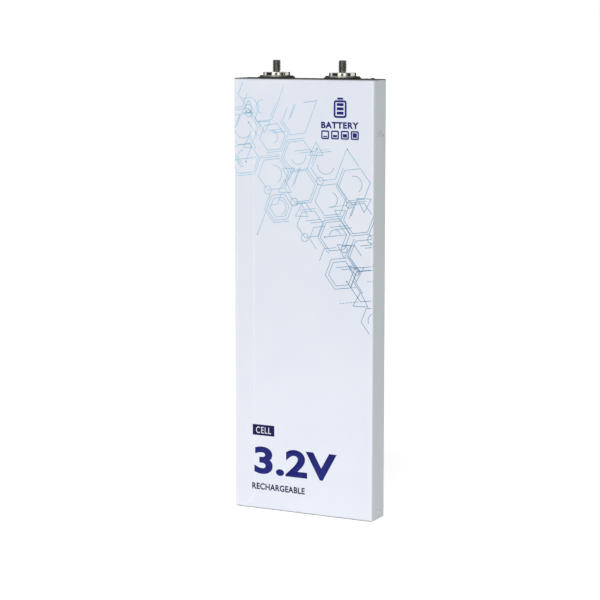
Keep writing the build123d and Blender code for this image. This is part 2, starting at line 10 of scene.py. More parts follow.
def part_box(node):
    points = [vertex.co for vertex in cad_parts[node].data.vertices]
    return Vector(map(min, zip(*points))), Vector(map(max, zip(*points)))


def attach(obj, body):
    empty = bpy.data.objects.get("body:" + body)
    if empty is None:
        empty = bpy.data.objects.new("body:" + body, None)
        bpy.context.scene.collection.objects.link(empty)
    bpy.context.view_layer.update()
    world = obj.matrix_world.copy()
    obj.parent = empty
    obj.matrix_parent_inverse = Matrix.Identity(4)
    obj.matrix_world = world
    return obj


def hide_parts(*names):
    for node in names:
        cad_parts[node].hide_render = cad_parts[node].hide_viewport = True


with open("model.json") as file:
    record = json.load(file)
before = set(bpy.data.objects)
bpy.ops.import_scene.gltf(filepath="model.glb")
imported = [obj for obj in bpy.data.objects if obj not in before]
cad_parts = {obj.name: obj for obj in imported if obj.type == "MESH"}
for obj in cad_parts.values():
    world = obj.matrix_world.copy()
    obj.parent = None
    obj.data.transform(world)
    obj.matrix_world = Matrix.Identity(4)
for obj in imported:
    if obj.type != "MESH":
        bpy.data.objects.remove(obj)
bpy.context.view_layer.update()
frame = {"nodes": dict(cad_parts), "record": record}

MM = 0.001


# -------- sizes of the skins, in metres
label_low, label_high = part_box("face_label")
film_low, film_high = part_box("wrap_film")
lid_low, lid_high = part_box("lid")
stud_low, stud_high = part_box("positive_stud")

TERMINAL_X = (stud_low.x + stud_high.x) / 2

LABEL_FRONT = film_low.y  # where the label lies flat; over the film's flap it stands a little prouder
LABEL_RADIUS = 1.1 * MM
LABEL_LEG = label_high.y - (LABEL_FRONT + LABEL_RADIUS)  # how far it reaches back along a narrow side
LABEL_FLAT = label_high.x - LABEL_RADIUS  # half the width of its flat front
LABEL_END = LABEL_FLAT + LABEL_RADIUS * math.pi / 2 + LABEL_LEG  # half its width, measured along it
LABEL_THICKNESS = 0.08 * MM
LABEL_WAVES = (  # height, length across and length up of slight waves, and which part of the noise they use
    (0.030 * MM, 24 * MM, 34 * MM, 0.3),
    (0.010 * MM, 9 * MM, 60 * MM, 7.1),
)
WAVES_FADE = 4 * MM  # the waves start to die out this far from the end of the flat front

FILM = 0.1 * MM
FILM_HALF_WIDTH = film_high.x
FILM_HALF_DEPTH = film_high.y
FILM_RADIUS = 1.0 * MM
FILM_THICKNESS = 0.09 * MM  # a little under FILM, so that the film stays clear of the case
FILM_STEPS = (3.0 * MM, 0.45 * MM, 1.5 * MM, 0.45 * MM)  # largest step on each side, front first
FILM_WAVE, FILM_WAVE_SIZE = 0.05 * MM, 12 * MM
CRINKLE, CRINKLE_SIZE = 0.10 * MM, 1.7 * MM
CRINKLE_REACH = 2.6 * MM  # the crinkles die out over about this far from the film's ends
CREASE_WIDTH, CREASE_HEIGHT = 0.9 * MM, 0.30 * MM
FOLDS = (  # folds pressed into the film at the foot of a narrow side: from (y, z) to (y, z), in millimetres
    ((-7.5, 0.7), (-1.0, 6.5)),
    ((-1.0, 6.5), (8.6, 3.6)),
    ((2.0, 0.7), (7.0, 6.0)),
    ((-3.5, 0.7), (6.0, 2.6)),
    ((5.0, 0.7), (8.8, 7.6)),
)
SCUFFS = (  # in millimetres: y, lowest and highest points, and half the width at the middle
    (-3.6, 261.6, 265.6, 0.30),
    (-0.6, 261.2, 266.4, 0.35),
    (2.4, 261.4, 266.0, 0.30),
    (5.2, 261.6, 263.4, 0.70),
)
SCUFF_LEAN = 0.12

FLAP_LEFT = -50.4 * MM
FLAP_RIGHT = -38.0 * MM
FLAP_BOTTOM = film_low.z + 0.9 * MM
FLAP_TOP = film_high.z - 0.9 * MM
FLAP_CUT_WIDTH = 6.5 * MM
FLAP_CUT_HEIGHT = 9.0 * MM
FLAP_RAMP = 0.6 * MM  # the label slopes down over this far from the flap's edge
FLAP_THICKNESS = 0.08 * MM

PRINT_LIFT = 0.02 * MM
PRINT_THICKNESS = 0.01 * MM


# -------- small helpers
def smoothstep(low, high, value):
    t = min(1.0, max(0.0, (value - low) / (high - low)))
    return t * t * (3 - 2 * t)


def ripple(place):
    """Smooth noise from 0 to 1 whose waves are about one unit long."""
    return 0.5 + 0.5 * noise.noise(place)


def steps(first, *runs):
    """Values from the first on. Each run is where it ends and the largest step allowed in it."""
    values = [first]
    begin = first
    for end, size in runs:
        count = max(1, math.ceil((end - begin) / size - 1e-6))
        values += [begin + (end - begin) * k / count for k in range(1, count + 1)]
        begin = end
    return values


def dress(mesh, *names):
    """Gives a mesh the named materials in place of its own."""
    mesh.materials.clear()
    for name in names:
        mesh.materials.append(looks[name])


def added(name, data):
    """A new object in the scene, for a mesh, a text, a light or a camera."""
    made = bpy.data.objects.new(name, data)
    bpy.context.scene.collection.objects.link(made)
    return made


def new_object(name, mesh, slot, *materials):
    """A piece that rides on the body, in its slot's material unless others are named."""
    dress(mesh, *(materials or (slot,)))
    piece = added(name, mesh)
    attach(piece, "root")
    return piece


def mesh_from(name, points, faces, smooth=True):
    mesh = bpy.data.meshes.new(name)
    mesh.from_pydata([tuple(p) for p in points], [], faces)
    mesh.validate()
    if smooth:
        mesh.polygons.foreach_set("use_smooth", [True] * len(mesh.polygons))
    mesh.update()
    return mesh


def grid_faces(columns, rows, closed=False, offset=0):
    """Quads of a grid of points that run row by row; closed joins the last column to the first."""
    faces = []
    for row in range(rows - 1):
        for column in range(columns if closed else columns - 1):
            following = (column + 1) % columns
            a, b = offset + row * columns + column, offset + row * columns + following
            faces.append((a, b, b + columns, a + columns))
    return faces


def thicken(piece, thickness, offset):
    solid = piece.modifiers.new("thickness", "SOLIDIFY")
    solid.thickness = thickness
    solid.offset = offset


# -------- shader nodes
NOISE_LOW, NOISE_HIGH = 0.3, 0.7  # most of a noise's values lie between these


class Nodes:
    """Short ways to add nodes to a tree. Most give the new node's output."""

    def __init__(self, tree):
        self.tree = tree

    def feed(self, socket, value):
        """Links an output to a socket, or sets its value."""
        if isinstance(value, bpy.types.NodeSocket):
            self.tree.links.new(value, socket)
        else:
            socket.default_value = value

    def node(self, kind, inputs=(), **settings):
        made = self.tree.nodes.new(kind)
        for setting, value in settings.items():
            setattr(made, setting, value)
        for socket, value in dict(inputs).items():
            self.feed(made.inputs[socket], value)
        return made

    def axes(self, vector):
        return self.node("ShaderNodeSeparateXYZ", {"Vector": vector}).outputs

    def maths(self, operation, first, second=0.0):
        return self.node("ShaderNodeMath", {0: first, 1: second}, operation=operation).outputs["Value"]

    def fit(self, value, low, high, to_low=0.0, to_high=1.0, easing="LINEAR"):
        """Makes the range from low to high run from to_low to to_high, and holds it at its ends."""
        ends = {"Value": value, "From Min": low, "From Max": high, "To Min": to_low, "To Max": to_high}
        return self.node("ShaderNodeMapRange", ends, interpolation_type=easing).outputs["Result"]

    def mix(self, factor, first, second):
        """The first colour where the factor is 0, the second where it is 1."""
        made = self.node("ShaderNodeMix", data_type="RGBA")
        sockets = {socket.identifier: socket for socket in made.inputs}
        self.feed(sockets["Factor_Float"], factor)
        for side, colour in (("A_Color", first), ("B_Color", second)):
            self.feed(sockets[side], (*colour, 1.0) if isinstance(colour, tuple) else colour)
        return next(socket for socket in made.outputs if socket.identifier == "Result_Color")


class Look(Nodes):
    """A node-based Principled material, kept in looks under its name."""

    def __init__(self, name, **sockets):
        material = bpy.data.materials.new(name)
        material.use_nodes = True
        super().__init__(material.node_tree)
        self.shader = self.tree.nodes["Principled BSDF"]
        self.place = self.node("ShaderNodeTexCoord").outputs["Object"]
        for socket, value in sockets.items():
            self.shader.inputs[socket.replace("_", " ")].default_value = value
        looks[name] = material

    def noise(self, size, detail=3.0, stretch=None, roughness=0.55, vector=None):
        """Noise from 0 to 1 whose blotches are about size metres across."""
        vector = vector or self.place
        if stretch:
            vector = self.node("ShaderNodeMapping", {"Vector": vector, "Scale": stretch}).outputs["Vector"]
        settings = {"Vector": vector, "Scale": 1 / size, "Detail": detail, "Roughness": roughness}
        return self.node("ShaderNodeTexNoise", settings).outputs["Fac"]

    def blotches(self, size, low=0.0, high=1.0, detail=3.0, stretch=None):
        """Noise whose usual range runs from low to high."""
        return self.fit(self.noise(size, detail, stretch), NOISE_LOW, NOISE_HIGH, low, high)

    def cells(self, size):
        settings = {"Vector": self.place, "Scale": 1 / size}
        return self.node("ShaderNodeTexVoronoi", settings).outputs["Distance"]

    def attribute(self, name):
        return self.node("ShaderNodeAttribute", attribute_name=name).outputs["Fac"]

    def corner_patches(self, reach, amount):
        """From 0 to amount, in patches, where a surface turns a corner within reach."""
        rounded = self.node("ShaderNodeBevel", {"Radius": reach}, samples=4).outputs["Normal"]
        flat = self.node("ShaderNodeNewGeometry").outputs["Normal"]
        facing = self.node("ShaderNodeVectorMath", {0: rounded, 1: flat}, operation="DOT_PRODUCT")
        patches = self.fit(self.noise(1.3 * MM, detail=4.0), 0.38, 0.62, 0.25, amount)
        return self.maths("MULTIPLY", self.fit(facing.outputs["Value"], 0.985, 0.85), patches)

    def colour(self, value):
        self.feed(self.shader.inputs["Base Color"], value)

    def roughness(self, value):
        self.feed(self.shader.inputs["Roughness"], value)

    def relief(self, *heights):
        """Bump from pairs of height and depth in metres, one on top of another."""
        normal = None
        for height, depth in heights:
            made = self.node("ShaderNodeBump", {"Height": height, "Distance": depth, "Strength": 1.0})
            if normal is not None:
                self.feed(made.inputs["Normal"], normal)
            normal = made.outputs["Normal"]
        self.feed(self.shader.inputs["Normal"], normal)


# -------- materials
looks = {}
UPRIGHT_GRAIN = (1.0, 1.0, 0.05)  # scale of the texture's axes, which draws it out along Z
CROSSWISE_GRAIN = (0.1, 1.0, 1.0)  # the same along X
LID_MARK_DEPTH = 0.05 * MM  # the lid's marks are what stands higher than this below its top
ALUMINIUM = (0.80, 0.80, 0.81)
COPPER = (0.80, 0.42, 0.26)
CATHODE_COAT_TOP = 255.0 * MM
ANODE_COAT_TOP = 256.0 * MM
ART_PALE = (0.30, 0.66, 0.88)
ART_DEEP = (0.010, 0.22, 0.45)
ART_DEPTH_TILT = 0.9  # how much going down deepens the art's ink, compared with going right
ART_DEPTH_START, ART_DEPTH_END = -0.230, -0.105  # x less tilted z, in metres, where the ink is pale and deep

GRAINED = (  # name, two colours, how far apart they lie, range of roughness, size and depth of the grain
    ("seat_black", (0.016, 0.016, 0.016), (0.035, 0.034, 0.031), 3 * MM, (0.38, 0.52), 0.2 * MM, 0.01 * MM),
    ("board_grey", (0.16, 0.17, 0.18), (0.24, 0.25, 0.26), 2 * MM, (0.6, 0.8), 0.1 * MM, 0.01 * MM),
    ("seal_rubber", (0.012, 0.012, 0.012), (0.030, 0.030, 0.030), 1 * MM, (0.55, 0.75), 0.1 * MM, 0.004 * MM),
    ("plug_black", (0.012, 0.012, 0.012), (0.028, 0.028, 0.027), 1 * MM, (0.36, 0.5), 0.1 * MM, 0.003 * MM),
    ("vent_ring_black", (0.016,) * 3, (0.034, 0.034, 0.032), 2 * MM, (0.42, 0.58), 0.15 * MM, 0.01 * MM),
    ("tab_sealant", (0.60, 0.57, 0.44), (0.72, 0.69, 0.56), 2 * MM, (0.3, 0.45), 0.3 * MM, 0.006 * MM),
    ("separator_film", (0.72, 0.72, 0.70), (0.82, 0.82, 0.80), 4 * MM, (0.5, 0.65), 0.1 * MM, 0.002 * MM),
    ("tape_blue", (0.02, 0.09, 0.30), (0.03, 0.13, 0.38), 2 * MM, (0.22, 0.36), 0.3 * MM, 0.006 * MM),
    ("spacer_plastic", (0.62, 0.62, 0.59), (0.72, 0.72, 0.69), 5 * MM, (0.4, 0.55), 0.2 * MM, 0.008 * MM),
)
TURNED = (  # name, two colours, range of roughness, depth of the lathe's rings
    ("plated_steel", (0.13, 0.125, 0.105), (0.27, 0.26, 0.23), (0.20, 0.32), 0.006 * MM),
    ("polished_flange", (0.58, 0.57, 0.52), (0.80, 0.79, 0.73), (0.05, 0.09), 0.0004 * MM),
    ("plate_metal", (0.42, 0.42, 0.40), (0.66, 0.66, 0.63), (0.30, 0.42), 0.002 * MM),
    ("copper_plated", (0.32, 0.31, 0.28), (0.52, 0.51, 0.47), (0.30, 0.42), 0.002 * MM),
)
INKS = (  # name, two colours, range of roughness
    ("ink_navy", (0.008, 0.011, 0.160), (0.013, 0.017, 0.200), (0.42, 0.56)),
    ("ink_box", (0.003, 0.005, 0.055), (0.008, 0.010, 0.095), (0.42, 0.56)),
    ("ink_small", (0.004, 0.008, 0.055), (0.008, 0.013, 0.075), (0.42, 0.56)),
    ("ink_white", (0.78, 0.80, 0.88), (0.84, 0.86, 0.92), (0.42, 0.56)),
    ("ink_scuff", (0.26, 0.36, 0.38), (0.36, 0.44, 0.46), (0.5, 0.7)),
)


def make_grained(name, dark, light, size, rough, grain, depth, stretch=None, **sockets):
    """Varies between two colours, with paler edges and a fine grain."""
    look = Look(name, **sockets)
    varied = look.mix(look.blotches(size, stretch=stretch), dark, light)
    rubbed = tuple(min(1.0, 1.3 * c + 0.02) for c in light)
    look.colour(look.mix(look.corner_patches(0.2 * MM, 0.6), varied, rubbed))
    look.roughness(look.blotches(0.4 * size, *rough, stretch=stretch))
    look.relief((look.noise(grain, detail=2.0, stretch=stretch), depth))


def make_label_white():
    """Printed white label: satin, with a faint cast in patches and a fine paper-like tooth. Lighter along its
    bends, partly from whitening and partly as a painted highlight, and darker on its legs round the narrow
    sides as painted shade.
    """
    look = Look("label_white", IOR=1.46)
    cast = look.fit(look.noise(40 * MM, detail=2.0), 0.35, 0.65)
    base = look.mix(cast, (0.762, 0.799, 0.887), (0.785, 0.818, 0.897))
    toothed = look.mix(look.blotches(0.35 * MM, 0.0, 0.12, detail=2.0), base, (0.86, 0.87, 0.90))
    patchy = look.fit(look.noise(6 * MM, detail=4.0), 0.25, 0.7, 0.15, 0.5)
    # Lighter along the bends over the flap's edge and the upright edges: partly whitening of the bent label,
    # partly a painted highlight.
    whitened_and_highlit = look.mix(look.maths("MULTIPLY", look.attribute("bend_highlight"), patchy), toothed, (0.90, 0.905, 0.93))
    # Darker on the legs round the narrow sides: painted shade, standing for the shade those sides are in.
    painted_side_shade = look.maths("MULTIPLY", look.attribute("leg"), look.blotches(3 * MM, 0.85, 1.0))
    look.colour(look.mix(painted_side_shade, whitened_and_highlit, (0.685, 0.705, 0.745)))
    look.roughness(look.blotches(9 * MM, 0.36, 0.50, detail=4.0, stretch=(1.0, 1.0, 0.35)))
    look.relief((look.noise(14 * MM, detail=1.0), 0.03 * MM), (look.noise(0.4 * MM), 0.004 * MM))


def make_film_white():
    """White wrap film: smoother than the label, with long upright streaks. Its colour is greyer than the
    label's as painted shade for the narrow sides, where the white film stands in shade.
    """
    look = Look("film_white", Specular_IOR_Level=0.35)
    streaks = look.blotches(9 * MM, stretch=(1.0, 1.0, 0.12))
    # Grey rather than white: painted shade for the narrow sides that the film covers.
    base = look.mix(streaks, (0.635, 0.685, 0.700), (0.655, 0.702, 0.717))
    clouds = look.fit(look.noise(22 * MM, detail=2.0), 0.35, 0.7, 0.0, 0.35)
    clouded = look.mix(clouds, base, (0.66, 0.675, 0.705))
    # Darker in patches where the film turns a corner, such as at its ends.
    look.colour(look.mix(look.corner_patches(0.4 * MM, 0.35), clouded, (0.50, 0.53, 0.55)))
    look.roughness(look.blotches(7 * MM, 0.32, 0.46, detail=4.0))
    draws = look.noise(11 * MM, detail=2.0, stretch=(1.0, 1.0, 0.3))
    look.relief((draws, 0.10 * MM), (look.noise(0.6 * MM, detail=2.0), 0.004 * MM))


def make_lid_black():
    """Black moulded plastic: fine spark-eroded grain with some dust in it, and marks rubbed paler."""
    look = Look("lid_black", IOR=1.5)
    base = look.mix(look.blotches(8 * MM), (0.018, 0.018, 0.018), (0.030, 0.030, 0.028))
    dust = look.fit(look.noise(0.7 * MM, detail=5.0, roughness=0.7), 0.62, 0.80, 0.0, 0.35)
    dusty = look.mix(dust, base, (0.16, 0.155, 0.14))
    raised = look.maths("GREATER_THAN", look.axes(look.place)["Z"], lid_high.z - LID_MARK_DEPTH)
    rubbed = look.maths("MULTIPLY", raised, look.fit(look.noise(0.5 * MM, detail=4.0), 0.3, 0.6, 0.4, 1.0))
    marked = look.mix(rubbed, dusty, (0.105, 0.105, 0.10))
    look.colour(look.mix(look.corner_patches(0.3 * MM, 0.5), marked, (0.085, 0.085, 0.08)))
    look.roughness(look.blotches(2 * MM, 0.42, 0.58, detail=4.0))
    look.relief((look.cells(0.22 * MM), 0.012 * MM), (look.noise(0.1 * MM), 0.004 * MM))


def turned_rings(look, pitch):
    """Height of fine lathe rings about each terminal's axis, from 0 to 1."""
    axes = look.axes(look.place)
    across = look.maths("SUBTRACT", look.maths("ABSOLUTE", axes["X"]), TERMINAL_X)
    flat = look.node("ShaderNodeCombineXYZ", {"X": across, "Y": axes["Y"]}).outputs["Vector"]
    radius = look.node("ShaderNodeVectorMath", {0: flat}, operation="LENGTH").outputs["Value"]
    point = look.node("ShaderNodeCombineXYZ", {"X": radius, "Z": axes["Z"]}).outputs["Vector"]
    return look.noise(pitch, vector=point)


def make_turned(name, dark, light, rough, depth):
    """Plated metal turned on a lathe, with light handling marks."""
    look = Look(name, Metallic=1.0)
    rings = turned_rings(look, 0.12 * MM)
    marks = look.fit(look.noise(1.6 * MM, detail=4.0), 0.35, 0.75)
    shown = look.maths("MULTIPLY", marks, look.fit(rings, NOISE_LOW, NOISE_HIGH, 0.4, 1.0))
    bright = tuple(min(1.0, 1.2 * c) for c in light)
    look.colour(look.mix(look.corner_patches(0.15 * MM, 0.8), look.mix(shown, light, dark), bright))
    look.roughness(look.blotches(0.9 * MM, *rough, detail=4.0))
    look.relief((rings, depth), (look.noise(0.5 * MM, detail=2.0), depth))


def make_sheet(name, coat_dark, coat_light, foil, coat_top):
    """Electrode sheet: a matt coating up to coat_top, bare metal foil above it."""
    look = Look(name)
    bare = look.maths("GREATER_THAN", look.axes(look.place)["Z"], coat_top)
    look.colour(look.mix(bare, look.mix(look.blotches(1.5 * MM, detail=4.0), coat_dark, coat_light), foil))
    look.feed(look.shader.inputs["Metallic"], bare)
    look.roughness(look.fit(bare, 0.0, 1.0, 0.85, 0.28))
    look.relief((look.noise(0.2 * MM), 0.01 * MM))


def make_laminate():
    """The pouch's foil: satin metal under a clear film, dimpled by the sheets behind it."""
    look = Look("pouch_laminate", Metallic=0.85, Coat_Weight=0.35, Coat_Roughness=0.25)
    look.colour(look.mix(look.blotches(6 * MM), (0.52, 0.53, 0.55), (0.64, 0.65, 0.67)))
    look.roughness(look.blotches(3 * MM, 0.30, 0.44, detail=4.0))
    look.relief((look.noise(4 * MM, detail=5.0), 0.10 * MM), (look.cells(0.8 * MM), 0.01 * MM))


def make_foam():
    """Closed-cell foam: small cells, and shallow larger ones."""
    look = Look("pad_foam")
    cells = look.cells(0.7 * MM)
    look.colour(look.mix(look.fit(cells, 0.0, 0.8), (0.035, 0.037, 0.040), (0.085, 0.088, 0.095)))
    look.roughness(look.blotches(3 * MM, 0.82, 0.95))
    look.relief((cells, 0.12 * MM), (look.cells(2.4 * MM), 0.10 * MM))


def make_ink(name, dark, light, rough):
    """Printing ink, with the faint mottle that a press leaves."""
    look = Look(name, Specular_IOR_Level=0.2)
    look.colour(look.mix(look.blotches(1.2 * MM, detail=4.0), dark, light))
    look.roughness(look.blotches(2 * MM, *rough))
    look.relief((look.noise(0.15 * MM), 0.002 * MM))


def make_art_ink():
    """The line art's ink: pale cyan at the upper left, deepening to blue at the lower right."""
    look = Look("art_ink", IOR=1.48)
    axes = look.axes(look.place)
    fall = look.maths("SUBTRACT", axes["X"], look.maths("MULTIPLY", axes["Z"], ART_DEPTH_TILT))
    mottle = look.blotches(5 * MM, -0.08, 0.08)
    deep = look.maths("ADD", look.fit(fall, ART_DEPTH_START, ART_DEPTH_END), mottle)
    look.colour(look.mix(deep, ART_PALE, ART_DEEP))
    look.roughness(look.blotches(2 * MM, 0.36, 0.48))
    look.relief((look.noise(0.15 * MM), 0.002 * MM))


def make_materials():
    make_label_white()
    make_film_white()
    make_lid_black()
    make_laminate()
    make_foam()
    make_art_ink()
    for row in GRAINED:
        make_grained(*row)
    for row in TURNED:
        make_turned(*row)
    for row in INKS:
        make_ink(*row)
    make_grained("can_aluminium", (0.44, 0.45, 0.46), (0.62, 0.63, 0.64), 6 * MM, (0.30, 0.44), 0.15 * MM,
                 0.006 * MM, UPRIGHT_GRAIN, Metallic=1.0)
    make_grained("vent_foil", (0.50, 0.50, 0.51), (0.70, 0.70, 0.71), 1.5 * MM, (0.28, 0.42), 0.1 * MM,
                 0.004 * MM, CROSSWISE_GRAIN, Metallic=1.0)
    make_sheet("cathode_coat", (0.010, 0.010, 0.011), (0.022, 0.022, 0.023), ALUMINIUM, CATHODE_COAT_TOP)
    make_sheet("anode_coat", (0.022, 0.022, 0.024), (0.042, 0.042, 0.045), COPPER, ANODE_COAT_TOP)


def dress_frame():
    """Gives every CAD node the material of its slot."""
    for entry in frame["record"]["subparts"]:
        dress(frame["nodes"][entry["node"]].data, entry["material_slot"])


# -------- label
def label_place(s):
    """Point and outward normal on the label's outline, s metres along it from the middle."""
    if abs(s) <= LABEL_FLAT:
        return Vector((s, LABEL_FRONT, 0.0)), Vector((0.0, -1.0, 0.0))
    side = math.copysign(1.0, s)
    beyond = abs(s) - LABEL_FLAT
    turn = min(beyond / LABEL_RADIUS, math.pi / 2)
    along = max(0.0, beyond - LABEL_RADIUS * math.pi / 2)
    x = side * (LABEL_FLAT + LABEL_RADIUS * math.sin(turn))
    y = LABEL_FRONT + LABEL_RADIUS * (1 - math.cos(turn)) + along
    return Vector((x, y, 0.0)), Vector((side * math.sin(turn), -math.cos(turn), 0.0))


def outside_flap(x, z):
    """How far a point on the front is outside the film's overlap flap; negative inside it."""
    diagonal = math.hypot(FLAP_CUT_WIDTH, FLAP_CUT_HEIGHT)
    past_edge = x - FLAP_RIGHT
    low_cut = (past_edge * FLAP_CUT_HEIGHT + (FLAP_BOTTOM + FLAP_CUT_HEIGHT - z) * FLAP_CUT_WIDTH) / diagonal
    high_cut = (past_edge * FLAP_CUT_HEIGHT + (z - FLAP_TOP + FLAP_CUT_HEIGHT) * FLAP_CUT_WIDTH) / diagonal
    return max(past_edge, low_cut, high_cut, FLAP_LEFT - x, FLAP_BOTTOM - z, z - FLAP_TOP)


def label_lift(s, z):
    """How far the label stands off the film: over the flap, and in slight waves."""
    over_flap = FILM * (1 - smoothstep(0.0, FLAP_RAMP, outside_flap(s, z)))
    waves = 0.0
    for height, across, up, seed in LABEL_WAVES:
        waves += height * ripple(Vector((s / across, z / up, seed)))
    return over_flap + smoothstep(LABEL_END, LABEL_FLAT - WAVES_FADE, abs(s)) * waves


def label_bend(s, z):
    """How sharply the label bends, over the flap's edge or an upright edge, from 0 to 1. It lightens the
    label's colour there: partly whitening of the bent label, partly a painted highlight.
    """
    off_ramp = abs(outside_flap(s, z) - FLAP_RAMP / 2)
    over_flap = 1 - smoothstep(0.3 * FLAP_RAMP, 1.7 * FLAP_RAMP, off_ramp)
    off_edge = abs(abs(s) - LABEL_FLAT - 0.35 * LABEL_RADIUS)
    round_edge = 1 - smoothstep(0.2 * LABEL_RADIUS, 0.7 * LABEL_RADIUS, off_edge)
    return max(over_flap, round_edge)


def label_leg(s):
    """How far round onto a narrow side a place on the label is, from 0 to 1. The label's colour is darkened
    by it as painted shade.
    """
    return smoothstep(LABEL_FLAT + 0.6 * LABEL_RADIUS, LABEL_FLAT + 1.2 * LABEL_RADIUS, abs(s))


def on_label(s, z, lift=0.0):
    point, normal = label_place(s)
    return point + normal * (label_lift(s, z) + lift) + Vector((0, 0, z))


def make_label():
    """A grid that is fine where the label bends and coarse elsewhere."""
    flap_end = FLAP_CUT_HEIGHT + 3 * MM
    across = steps(
        -LABEL_END,
        (-LABEL_FLAT - 0.4 * MM, 0.25 * MM),
        (FLAP_LEFT + 1 * MM, 0.4 * MM),
        (FLAP_RIGHT - FLAP_CUT_WIDTH, 1.0 * MM),
        (FLAP_RIGHT + FLAP_RAMP + 1 * MM, 0.3 * MM),
        (LABEL_FLAT, 2.0 * MM),
        (LABEL_END, 0.25 * MM),
    )
    up = steps(
        label_low.z,
        (label_low.z + flap_end, 0.4 * MM),
        (label_high.z - flap_end, 2.0 * MM),
        (label_high.z, 0.4 * MM),
    )
    places = [(s, z) for z in up for s in across]
    mesh = mesh_from("label", [on_label(s, z) for s, z in places], grid_faces(len(across), len(up)))
    bends = mesh.attributes.new("bend_highlight", "FLOAT", "POINT")
    bends.data.foreach_set("value", [label_bend(s, z) for s, z in places])
    legs = mesh.attributes.new("leg", "FLOAT", "POINT")
    legs.data.foreach_set("value", [label_leg(s) for s, z in places])
    label = new_object("label", mesh, "label_white")
    thicken(label, LABEL_THICKNESS, -1.0)
    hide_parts("face_label")


# -------- wrap film
def crease_height(y, z, begin, end):
    """Height of one fold's rounded ridge at a point on a narrow side."""
    start = Vector(begin) * MM
    along = Vector(end) * MM - start
    here = Vector((y, z)) - start
    share = min(1.0, max(0.0, here.dot(along) / along.length_squared))
    away = (here - along * share).length
    ridge = 0.35 + 0.65 * math.sin(math.pi * share) ** 0.5
    return CREASE_HEIGHT * (1 - smoothstep(0.0, CREASE_WIDTH, away)) * ridge


def film_lift(point, normal, z):
    """How far the film stands off the case: folds, crinkles near its ends and slight waves."""
    sideways = smoothstep(0.5, 1.0, abs(normal.x))
    behind = smoothstep(0.5, 1.0, normal.y)
    y = point.y if normal.x > 0 else -point.y
    folds = max(crease_height(y, z, *fold) for fold in FOLDS)
    from_end = min(z - film_low.z, film_high.z - z)
    crinkle = CRINKLE * math.exp(-from_end / CRINKLE_REACH)
    crinkle *= ripple(Vector((point.y, 0.2 * point.x, z)) / CRINKLE_SIZE)
    wave = FILM_WAVE * ripple(Vector((point.x, point.y, 0.3 * z)) / FILM_WAVE_SIZE)
    return sideways * (folds + crinkle + wave) + behind * (crinkle + wave)


def film_outline():
    """Points and outward normals round the film, from the left of its front towards +X."""
    corner_count = math.ceil(FILM_RADIUS * math.pi / 2 / (0.2 * MM))
    half, other_half = FILM_HALF_WIDTH, FILM_HALF_DEPTH
    ahead = Vector((1, 0, 0))
    outline = []
    for step in FILM_STEPS:
        outward = Vector((ahead.y, -ahead.x, 0))
        length = 2 * (half - FILM_RADIUS)
        start = outward * other_half - ahead * length / 2
        count = math.ceil(length / step)
        outline += [(start + ahead * (length * k / count), outward) for k in range(count)]
        centre = start + ahead * length - outward * FILM_RADIUS
        for k in range(corner_count):
            turn = math.pi / 2 * k / corner_count
            normal = outward * math.cos(turn) + ahead * math.sin(turn)
            outline.append((centre + normal * FILM_RADIUS, normal))
        half, other_half = other_half, half
        ahead = -outward
    return outline


def on_film(point, normal, z, lift=0.0):
    return point + normal * (film_lift(point, normal, z) + lift) + Vector((0, 0, z))


def make_film():
    outline = film_outline()
    up = steps(
        film_low.z,
        (film_low.z + 9 * MM, 0.4 * MM),
        (film_high.z - 6 * MM, 3.0 * MM),
        (film_high.z, 0.5 * MM),
    )
    points = [on_film(point, normal, z) for z in up for point, normal in outline]
    mesh = mesh_from("film", points, grid_faces(len(outline), len(up), closed=True))
    film = new_object("film", mesh, "film_white")
    thicken(film, FILM_THICKNESS, -1.0)
    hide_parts("wrap_film")


def make_scuffs():
    """Three faint slanted strokes and a dot, rubbed onto the narrow side at +X."""
    wall, outward = Vector((FILM_HALF_WIDTH, 0.0, 0.0)), Vector((1.0, 0.0, 0.0))
    points, faces = [], []
    parts = 6
    for scuff in SCUFFS:
        y, low, high, half_width = (value * MM for value in scuff)
        first = len(points)
        for k in range(parts + 1):
            z = low + (high - low) * k / parts
            taper = half_width * math.sin(math.pi * (0.12 + 0.76 * k / parts))
            middle = y + (z - low) * SCUFF_LEAN
            for place in (middle - taper, middle + taper):
                points.append(on_film(wall + Vector((0.0, place, 0.0)), outward, z, PRINT_LIFT))
        faces += grid_faces(2, parts + 1, offset=first)
    mesh = mesh_from("film_scuffs", points, faces, smooth=False)
    scuffs = new_object("film_scuffs", mesh, "film_white", "ink_scuff")
    thicken(scuffs, PRINT_THICKNESS, 0.0)


def make_flap():
    """The film's overlap flap under the label, which shows only as a step in it."""
    outline = (
        (FLAP_LEFT, FLAP_BOTTOM),
        (FLAP_RIGHT - FLAP_CUT_WIDTH, FLAP_BOTTOM),
        (FLAP_RIGHT, FLAP_BOTTOM + FLAP_CUT_HEIGHT),
        (FLAP_RIGHT, FLAP_TOP - FLAP_CUT_HEIGHT),
        (FLAP_RIGHT - FLAP_CUT_WIDTH, FLAP_TOP),
        (FLAP_LEFT, FLAP_TOP),
    )
    points = [(x, LABEL_FRONT + FILM, z) for x, z in outline]
    mesh = mesh_from("film_flap", points, [tuple(range(len(points)))], smooth=False)
    flap = new_object("film_flap", mesh, "film_white")
    thicken(flap, FLAP_THICKNESS, 1.0)
    bevel = flap.modifiers.new("soft edges", "BEVEL")
    bevel.width = 0.02 * MM
    bevel.segments = 2


